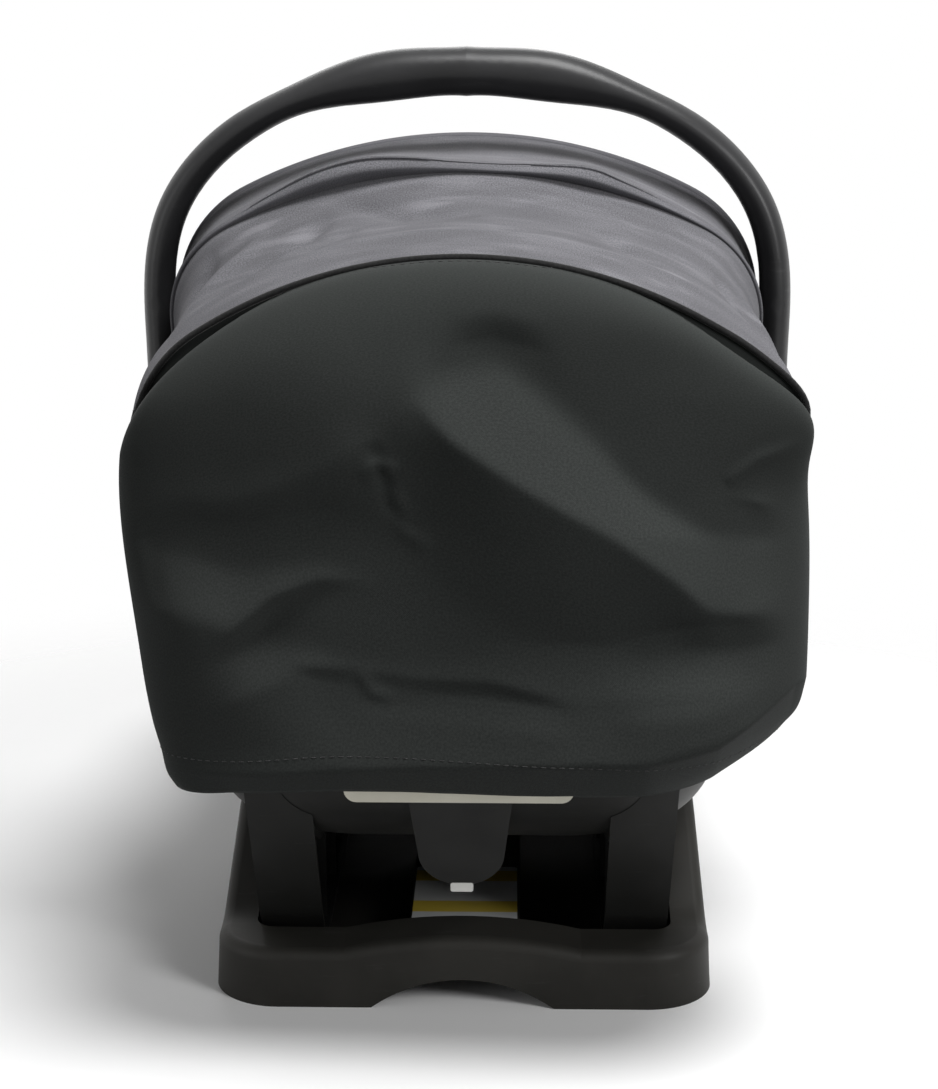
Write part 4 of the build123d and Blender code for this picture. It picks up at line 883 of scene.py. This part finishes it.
def hood_back_panel():
    """Loose back panel with its hem's seam, and the piping that joins it to the hood."""
    panel = sheet_from(
        "hood_back_panel_cloth", 230, 200, (0.56, 0.44), panel_point,
        lambda spot: Vector((0, -1, 0)), "panel_cloth",
    )
    thicken(panel, cloth_thickness)
    fit(panel, "carrier", "hood_back_panel")
    clear = Vector((0, -0.6, 0.8)) * mm
    piping_line = [
        at_piping(step / bow_steps) + clear for step in range(-bow_steps, bow_steps + 1)
    ]
    fit(tube("hood_piping", piping_line, 2.1 * mm, "piping_cloth"), "carrier")
    hem_facing = Vector((0, -1, -0.3)).normalized()
    stitches("hem_stitches", panel_seam(0.03, 0.055), hem_facing)
    stitches("piping_stitches", panel_seam(0.02, 0.985), Vector((0, -0.6, 0.8)))


def hood_dents(spot, depth):
    """Uneven slackness of the hood's cloth."""
    return depth * (noise.noise(spot * 11) + 0.5 * noise.noise(spot * 27))


fold_rows = 0.24  # share of the front cloth's rows that its fold takes
fold_clear = 0.8 * mm  # of the fold over the mid bow
fold_tuck = 2 * mm  # of its start under the rear cloth
lap_run = 190  # run of the rear cloth that a lap is measured on, in millimetres
# Fold at the mid bow, across the hood: (x, lap over the rear cloth, height), in millimetres
fold_shape = (
    (-200, 2, 1.5), (-150, 4, 4), (-118, 8, 9), (-90, 12, 14), (-62, 13, 15), (-36, 10, 11),
    (-8, 7, 6), (22, 7, 5), (50, 9, 8), (76, 12, 12), (98, 10, 9), (130, 6, 5), (165, 3, 2),
    (200, 2, 1.5),
)
# Creases of the rear cloth: both ends as shares across it and from the piping to the mid bow,
# depth in millimetres, width as a share across
rear_creases = (
    ((-0.66, 0.08), (-0.3, 0.8), 3.4, 0.03), ((-0.58, 0.05), (-0.36, 0.52), -2.6, 0.022),
    ((-0.74, 0.2), (-0.46, 0.86), -3.0, 0.03), ((-0.8, 0.3), (-0.6, 0.9), 3.0, 0.03),
    ((-0.5, 0.1), (-0.24, 0.6), 2.0, 0.025), ((0.06, 0.42), (0.2, 0.26), 2.4, 0.02),
    ((0.2, 0.26), (0.36, 0.32), 2.0, 0.02), ((0.3, 0.62), (0.5, 0.36), 2.2, 0.025),
    ((0.62, 0.7), (0.78, 0.2), 2.6, 0.025), ((0.7, 0.8), (0.86, 0.3), -2.4, 0.03),
    ((-0.2, 0.7), (0.05, 0.6), 1.8, 0.03), ((-0.32, 0.9), (-0.12, 0.66), 2.2, 0.025),
)
run_share = 0.22  # of the half arch, that the creases' places along the cloth are measured in


def rear_crease(share, v):
    """Depth of the rear cloth's creases, in millimetres."""
    deep = 0.0
    for start, end, depth, width in rear_creases:
        start, end = ((x, run_share * y) for x, y in (start, end))
        away, along = off_segment(share, run_share * v, start, end, 0)
        taper = math.sin(math.pi * min(0.98, max(0.02, along)))
        deep += depth * taper * math.exp(-((1.6 * away / width) ** 2))
    return deep


crease_strength = 2.4


def less_at_sides(share):
    """Share of the hood's slack, which the bows' feet draw out."""
    return 1 - 0.35 * abs(share) ** 3


def rear_cloth_point(u, v):
    """Hood cloth from the piping, v 0, to the mid bow, v 1."""
    share = 2 * u - 1
    start, end = at_piping(share), on_bow(mid_arch, share, mid_tilt)
    rear_bow = over_rear_bow(share)
    carried = (rear_bow.y - start.y) / (end.y - start.y)  # where the cloth passes over the rear bow
    spot = start.lerp(end, v)
    inward = (Vector((0, spot.y, hood_pivot.z)) - spot).normalized()
    proud = max(0.0, 1.5 * mm - (rear_bow - start.lerp(end, carried)).dot(inward))
    free = math.sin(math.pi * max(0.0, v - carried) / (1 - carried))
    uneven = crease_strength * rear_crease(share, v) * mm + hood_dents(spot, 2.2 * mm)
    deep = hood_sag * free * less_at_sides(share) + uneven * free
    tent = min(v / max(carried, 1e-3), (1 - v) / (1 - carried))
    return spot + inward * (deep - proud * smooth_step(tent))


def front_cloth_point(u, v):
    """Hood cloth from the mid bow, v 0, back under its own fold and over to the front bow, v 1."""
    share = 2 * u - 1
    across = on_bow(mid_arch, share, mid_tilt).x / mm
    lap = follow([knot[:2] for knot in fold_shape], across) / lap_run
    lift = follow([knot[::2] for knot in fold_shape], across) * mm
    if v < fold_rows:
        turn = math.pi * v / fold_rows
        under = rear_cloth_point(u, 1 - lap * math.sin(math.pi * (v / fold_rows) ** 2))
        outward = (under - Vector((0, under.y, hood_pivot.z))).normalized()
        climb = (fold_clear + lift + fold_tuck) * (1 - math.cos(turn)) / 2
        return under + outward * (climb - fold_tuck)
    start = on_bow(mid_arch, share, mid_tilt, fold_clear + lift)
    end = on_bow(front_arch, share, front_tilt, 0.4 * mm)
    v = (v - fold_rows) / (1 - fold_rows)
    spot = start.lerp(end, v)
    inward = (Vector((0, spot.y, hood_pivot.z)) - spot).normalized()
    free = math.sin(math.pi * v)
    deep = 0.3 * hood_sag * (free * less_at_sides(share)) + hood_dents(spot, 1.6 * mm) * free
    return spot + inward * deep


def hood_top():
    """Hood cloth behind and before its mid bow, with the sleeve over the front bow."""
    def outward(spot):
        return spot - Vector((0, spot.y, hood_pivot.z - 20 * mm))

    rear = sheet_from(
        "hood_rear_sheet", 260, 90, (0.66, 0.17), rear_cloth_point, outward, "hood_cloth"
    )
    thicken(rear, cloth_thickness)
    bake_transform(rear)
    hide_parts("hood_rear_cloth")
    front = sheet_from(
        "hood_front_sheet", 240, 120, (0.66, 0.15), front_cloth_point, outward, "hood_cloth"
    )
    thicken(front, cloth_thickness)
    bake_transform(front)
    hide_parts("hood_front_cloth")
    sleeve_line = [
        on_bow(front_arch, step / bow_steps, front_tilt, -2.2 * mm) for step in range(-54, 55)
    ]
    sleeve = tube("hood_front_sleeve", sleeve_line, 4.2 * mm, "hood_cloth")
    fit(sleeve, "hood_front")


# Padding

def back_point(x, y, z):
    """Point over the back slope in millimetres: x across, y down from its head end, z out of it."""
    down = Vector((0, math.cos(back_slope), -math.sin(back_slope)))
    out = Vector((0, math.sin(back_slope), math.cos(back_slope)))
    return bight + down * (y * mm - back_length) + out * z * mm + Vector((x * mm, 0, 0))


def seat_point(x, y, z):
    """Point over the seat slope: y from the bight to the foot end."""
    along = Vector((0, math.cos(seat_slope), math.sin(seat_slope)))
    out = Vector((0, -math.sin(seat_slope), math.cos(seat_slope)))
    return bight + along * y * mm + out * z * mm + Vector((x * mm, 0, 0))


def direction(point, x, y, z):
    """Direction of a step on a slope."""
    return (point(x, y, z) - point(0, 0, 0)).normalized()


swelling_frames = 16


def blow_up(piece, sewn, pressure, limit):
    """Cloth under pressure, held where it is sewn, no point moving further than limit."""
    held = piece.vertex_groups.new(name="sewn")
    held.add(sewn, 1.0, "REPLACE")
    rest = [vert.co.copy() for vert in piece.data.vertices]
    swelling = piece.modifiers.new("swelling", "CLOTH")
    settings = swelling.settings
    settings.quality = 4
    settings.vertex_group_mass = held.name
    settings.use_pressure = True
    settings.uniform_pressure_force = pressure
    settings.effector_weights.gravity = 0
    scene = bpy.context.scene
    for step in range(1, swelling_frames + 1):
        scene.frame_set(step)
    swollen = settled_mesh(piece)
    piece.modifiers.clear()
    piece.vertex_groups.clear()
    for vert, old, new in zip(piece.data.vertices, rest, swollen.vertices):
        moved = new.co - old
        vert.co = old + moved * min(1.0, limit / max(moved.length, 1e-9))
    bpy.data.meshes.remove(swollen)
    scene.frame_set(1)


sewn_half = 3.5 * mm  # half the width that a seam holds down
channel_half = 4.5 * mm
channel_depth = 4.5 * mm


def cushion(node, voxel, sunk, pressure, limit, seams=None):
    """Padded piece in the place of a packed form: drawn in, then blown up between its seams."""
    shape = bmesh.new()
    shape.from_mesh(nodes[node].data)
    bmesh.ops.remove_doubles(shape, verts=shape.verts, dist=0.02 * mm)
    piece = finished(shape, node + "_cushion", "pad_cloth")
    remesh = piece.modifiers.new("even", "REMESH")
    remesh.mode = "VOXEL"
    remesh.voxel_size = voxel
    even = settled_mesh(piece)
    piece.modifiers.clear()
    piece.data = even
    even.materials.clear()
    even.materials.append(finishes["pad_cloth"])
    shape = bmesh.new()
    shape.from_mesh(even)
    for _ in range(2):
        bmesh.ops.smooth_vert(
            shape, verts=shape.verts, factor=0.5, use_axis_x=True, use_axis_y=True, use_axis_z=True
        )
    shape.normal_update()
    for vert in shape.verts:
        vert.co -= vert.normal * sunk
    shape.to_mesh(even)
    shape.free()
    sewn = [
        vert.index for vert in even.vertices if seams and seams.off(vert.co) < sewn_half
    ]
    blow_up(piece, sewn, pressure, limit)
    if seams:
        for vert in even.vertices:
            if vert.normal.dot(seams.out) > 0.2:
                near = math.exp(-((seams.off(vert.co) / channel_half) ** 2))
                vert.co -= seams.out * channel_depth * near
    even.shade_smooth()
    fit(piece, "carrier", node)
    return piece


class Seams:
    """Sewn channels across a pad, at equal steps down its slope."""

    def __init__(self, point, start, end, count):
        self.point, self.start, self.count = point, start, count
        self.origin = point(0, start, 0)
        self.along = direction(point, 0, 1, 0)
        self.out = direction(point, 0, 0, 1)
        self.cell = (end - start) / (count + 1) * mm

    def off(self, spot):
        """Distance from the nearest channel."""
        run = (spot - self.origin).dot(self.along) / self.cell
        nearest = min(max(round(run), 1), self.count)
        return abs(run - nearest) * self.cell


def surface_of(piece):
    """Search tree of a piece's faces."""
    corners = [vert.co for vert in piece.data.vertices]
    return BVHTree.FromPolygons(corners, [face.vertices for face in piece.data.polygons])


well_above = 60 * mm


def lay_on(surface, spot, out, lift):
    """The spot brought down onto a surface, or left where it is beyond the surface's edge."""
    found = surface.ray_cast(spot + out * well_above, -out)[0]
    return (found or spot) + out * lift


slot_half_width, slot_half_height = 24, 5.5  # of the frames round strap slots, in millimetres
slot_steps = 48


def rounded(value, power):
    """Cosine or sine drawn out towards the corners of a frame."""
    return math.copysign(abs(value) ** power, value)


def slot_binding(name, piece, seams, middle, place):
    """Moulded frame round a strap slot, on the pad's face."""
    surface = surface_of(piece)
    corners = []
    for step in range(slot_steps + 1):
        turn = step * 2 * math.pi / slot_steps
        x = middle + slot_half_width * rounded(math.cos(turn), 0.35)
        y = place + slot_half_height * rounded(math.sin(turn), 0.5)
        corners.append(lay_on(surface, seams.point(x, y, 18), seams.out, 0.4 * mm))
    binding = tube(name, corners, 1.5 * mm, "clip_plastic")
    fit(binding, "carrier")


def padding():
    """Back and seat pads with sewn channels and strap slots, and the side liner."""
    back_seams = Seams(back_point, 24, 384, 4)
    seat_seams = Seams(seat_point, 24, 140, 2)
    back = cushion("back_pad", 4.5 * mm, 2.4 * mm, 4.0, 4 * mm, back_seams)
    seat = cushion("seat_pad", 4 * mm, 2.4 * mm, 4.0, 4 * mm, seat_seams)
    liner = cushion("side_liner", 5 * mm, 1.5 * mm, 3.0, 3 * mm)
    for piece, seams in ((back, back_seams), (seat, seat_seams)):
        surface = surface_of(piece)
        for row in range(1, seams.count + 1):
            place = seams.start + row * seams.cell / mm
            line = [
                lay_on(surface, seams.point(x, place, 12), seams.out, 0.1 * mm)
                for x in range(-108, 109, 6)
            ]
            stitches(f"{piece.name}_stitches_{row}", line, seams.out)
    slot_binding("shoulder_slot_right", back, back_seams, 52, 96)
    slot_binding("shoulder_slot_left", back, back_seams, -52, 96)
    slot_binding("crotch_slot", seat, seat_seams, 0, 78)


# Harness

def strap(name, path, width, facing, body, node=None, across=None):
    """Flat webbing along a path, its width square to its facing direction or along across."""
    lengths = running_lengths(path)
    tracks = [[(run, point[axis]) for run, point in zip(lengths, path)] for axis in range(3)]

    def on_path(run):
        return Vector(follow(track, run) for track in tracks)

    def place(u, v):
        run = v * lengths[-1]
        step = lengths[-1] * 0.01
        ahead = on_path(min(run + step, lengths[-1])) - on_path(max(run - step, 0))
        sideways = across or ahead.cross(facing).normalized()
        return on_path(run) + sideways * (u - 0.5) * width

    rows = max(12, int(lengths[-1] / (3 * mm)))
    made = sheet_from(
        name, 10, rows, (width, lengths[-1]), place, lambda spot: facing, "webbing"
    )
    thicken(made, web_thickness, offset=0.0)
    selvedge = made.modifiers.new("selvedge", "BEVEL")
    selvedge.width = 0.45 * mm
    selvedge.segments = 2
    selvedge.limit_method = "ANGLE"
    fit(made, body, node)


def harness():
    """Shoulder, hip and crotch webbing, the lower anchors' strap and the adjuster's tail."""
    out, seat_out = direction(back_point, 0, 0, 1), direction(seat_point, 0, 0, 1)
    level = 21.6  # of the straps over the back slope
    for name, side in (("right", 1), ("left", -1)):
        shoulder = [
            (52, 95.5, 7), (52, 95.8, 17), (52, 98, 21.6), (52, 103, 22.8), (50.5, 120, level),
            (44, 180, level), (36, 250, level), (31, 294, level), (30, 304, level + 1),
        ]
        strap(
            f"harness_shoulder_{name}",
            [back_point(side * x, y, z) for x, y, z in shoulder],
            web_width, out, "carrier", f"harness_strap_{name}",
        )
        hip = [
            (22, 296, level + 1.8), (40, 301, level + 1.8), (70, 311, level + 0.4),
            (90, 318, level - 0.4), (100, 321, 18), (104, 322, 11),
        ]
        strap(
            f"harness_hip_{name}",
            [back_point(side * x, y, z) for x, y, z in hip], web_width, out, "carrier",
        )
    crotch = [back_point(0, 371, 30), back_point(0, 382, 30)]
    for y, z in ((40, 27), (62, 23.5), (74, 21.6), (79, 17), (79.4, 6)):
        crotch.append(seat_point(0, y, z))
    strap("crotch_webbing", crotch, web_width, seat_out, "carrier", "crotch_strap")
    half = [(74.3, 20.6), (74.3, 27), (73.6, 33), (70, 35.4), (60, 35.2), (30, 35)]
    anchor = [(-x, z) for x, z in half] + [(0, 35.6)] + half[::-1]
    strap(
        "anchor_webbing", [Vector((x, 178, z)) * mm for x, z in anchor], 26 * mm,
        Vector((0, 0, 1)), "base", "anchor_strap", Vector((0, 1, 0)),
    )
    low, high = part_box("adjuster_tail")
    start = Vector((0, low.y, low.z + web_thickness / 2))
    end = Vector((0, high.y, high.z - web_thickness / 2))
    strap(
        "adjuster_webbing", [start, start.lerp(end, 0.5), end], high.x - low.x, seat_out, "carrier",
        "adjuster_tail",
    )


def chest_clip_relief():
    """Press tab and finger ribs on the face of the chest clip."""
    face = 29.9  # of the clip over the back slope
    blocks = [(-11, 11, 185, 207, 2.6)]  # x from and to, y from and to, height
    blocks += [
        (side * x - 1, side * x + 1, 184, 208, 1.1) for x in (22, 27, 32) for side in (-1, 1)
    ]
    shape = bmesh.new()
    for x0, x1, y0, y1, height in blocks:
        corners = add_block(shape, (x0, y0, face), (x1, y1, face + height))
        edges = {edge for vert in corners for edge in vert.link_edges}
        round_edges(shape, list(edges), 0.4 * height, 3)
    for vert in shape.verts:
        vert.co = back_point(*vert.co)
    relief = finished(shape, "chest_clip_relief", "clip_plastic")
    fit(relief, "chest_clip")


# Handle

def lock_button_coils():
    """Coils under the handle's lock buttons, each with a mesh of its own; the real coils shorten as
    the buttons go in.
    """
    for side in ("left", "right"):
        node = f"button_spring_{side}"
        shape = bmesh.new()
        shape.from_mesh(nodes[node].data)
        bmesh.ops.remove_doubles(shape, verts=shape.verts, dist=0.01 * mm)
        coil = finished(shape, f"lock_button_coil_{side}", "steel")
        fit(coil, "handle", node)
        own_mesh(coil)


# Base

def bare_plate():
    """Bare plate with two plain bands, on the raised middle of the base."""
    low, high = Vector((-37, -181, 34)) * mm, Vector((37, -66, 34.8)) * mm
    shape = bmesh.new()
    add_block(shape, low, high)
    upright = [
        edge for edge in shape.edges if abs(edge.verts[0].co.z - edge.verts[1].co.z) > 0.1 * mm
    ]
    round_edges(shape, upright, 3 * mm, 4)
    banded_plate(
        "bare_plate", (0.62, 0.63, 0.62), (0.56, 0.42, 0.055), (-142 * mm, -84 * mm), 20 * mm
    )
    plate = finished(shape, "bare_plate", "bare_plate", smooth=False)
    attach(plate, "base")


# Scene

def seen_rays(tree):
    """1 for rays that show the surroundings, straight, mirrored or through glass."""
    path = add(tree, "ShaderNodeLightPath")
    glossy, through = path.outputs["Is Glossy Ray"], path.outputs["Is Transmission Ray"]
    mirrored = maths(tree, "MAXIMUM", glossy, through)
    return maths(tree, "MAXIMUM", path.outputs["Is Camera Ray"], mirrored)


floor_fade = 0.42, 0.95  # from and to, in metres from the middle
soft_grey = 0.11  # of the surroundings, as light


def floor():
    """Pale floor that fades into the white surroundings away from the object."""
    shape = bmesh.new()
    bmesh.ops.create_grid(shape, x_segments=1, y_segments=1, size=4.0)
    tree, shader = new_finish("pale_floor", 0.7, 0.2)
    colour = mix_colours(tree, seen_rays(tree), (0.3, 0.3, 0.3), (0.92, 0.92, 0.92))
    feed(tree, shader, Base_Color=colour)
    reach = add(tree, "ShaderNodeVectorMath", operation="LENGTH")
    feed(tree, reach, Vector=coordinates_of(tree, "Object"))
    fade = ramp(tree, reach.outputs["Value"], *floor_fade)
    clear = add(tree, "ShaderNodeBsdfTransparent")
    blended = add(tree, "ShaderNodeMixShader")
    for socket, source in zip(blended.inputs, (fade, shader.outputs[0], clear.outputs[0])):
        connect(tree, socket, source)
    feed(tree, tree.nodes["Material Output"], Surface=blended.outputs[0])
    finished(shape, "pale_floor", "pale_floor")


def lamp(name, place, target, size, power):
    """Round soft lamp that faces a target."""
    light = bpy.data.lights.new(name, "AREA")
    light.shape = "DISK"
    light.size = size
    light.energy = power
    fixture = into_scene(name, light)
    fixture.location = place
    fixture.rotation_euler = (Vector(target) - Vector(place)).to_track_quat("-Z", "Y").to_euler()


def surroundings():
    """White behind the object, an even soft grey for everything else."""
    world = bpy.data.worlds.new("studio")
    bpy.context.scene.world = world
    world.use_nodes = True
    tree = world.node_tree
    level = add(tree, "ShaderNodeMapRange", Value=seen_rays(tree), To_Min=soft_grey, To_Max=1.0)
    feed(tree, tree.nodes["Background"], Strength=level.outputs[0], Color=(1, 1, 1))


def camera():
    """Camera where the photograph was taken: behind the head end and a little above."""
    heading, pitch = math.radians(1.13), math.radians(13.11)
    lens = bpy.data.cameras.new("viewpoint")
    lens.lens = 72.23
    lens.sensor_width = 36.0
    stand = into_scene("viewpoint", lens)
    stand.location = viewpoint
    stand.rotation_euler = (math.pi / 2 - pitch, 0, heading)
    bpy.context.scene.camera = stand


dress_packed_pieces()
hood_back_panel()
hood_top()
padding()
harness()
chest_clip_relief()
lock_button_coils()
bare_plate()
floor()
surroundings()
lamp("ceiling_light", (0.45, -0.6, 2.45), (0, -0.05, 0.3), 1.1, 62)
lamp("front_fill", (1.4, -1.4, 1.1), (0, -0.3, 0.25), 0.7, 20)
lamp("left_fill", (-2.2, -1.2, 0.8), (0, -0.1, 0.3), 1.6, 10)
lamp("foot_fill", (-0.2, 2.5, 1.9), (0, 0.1, 0.25), 1.6, 17)
camera()

bpy.context.scene.view_settings.view_transform = "Standard"
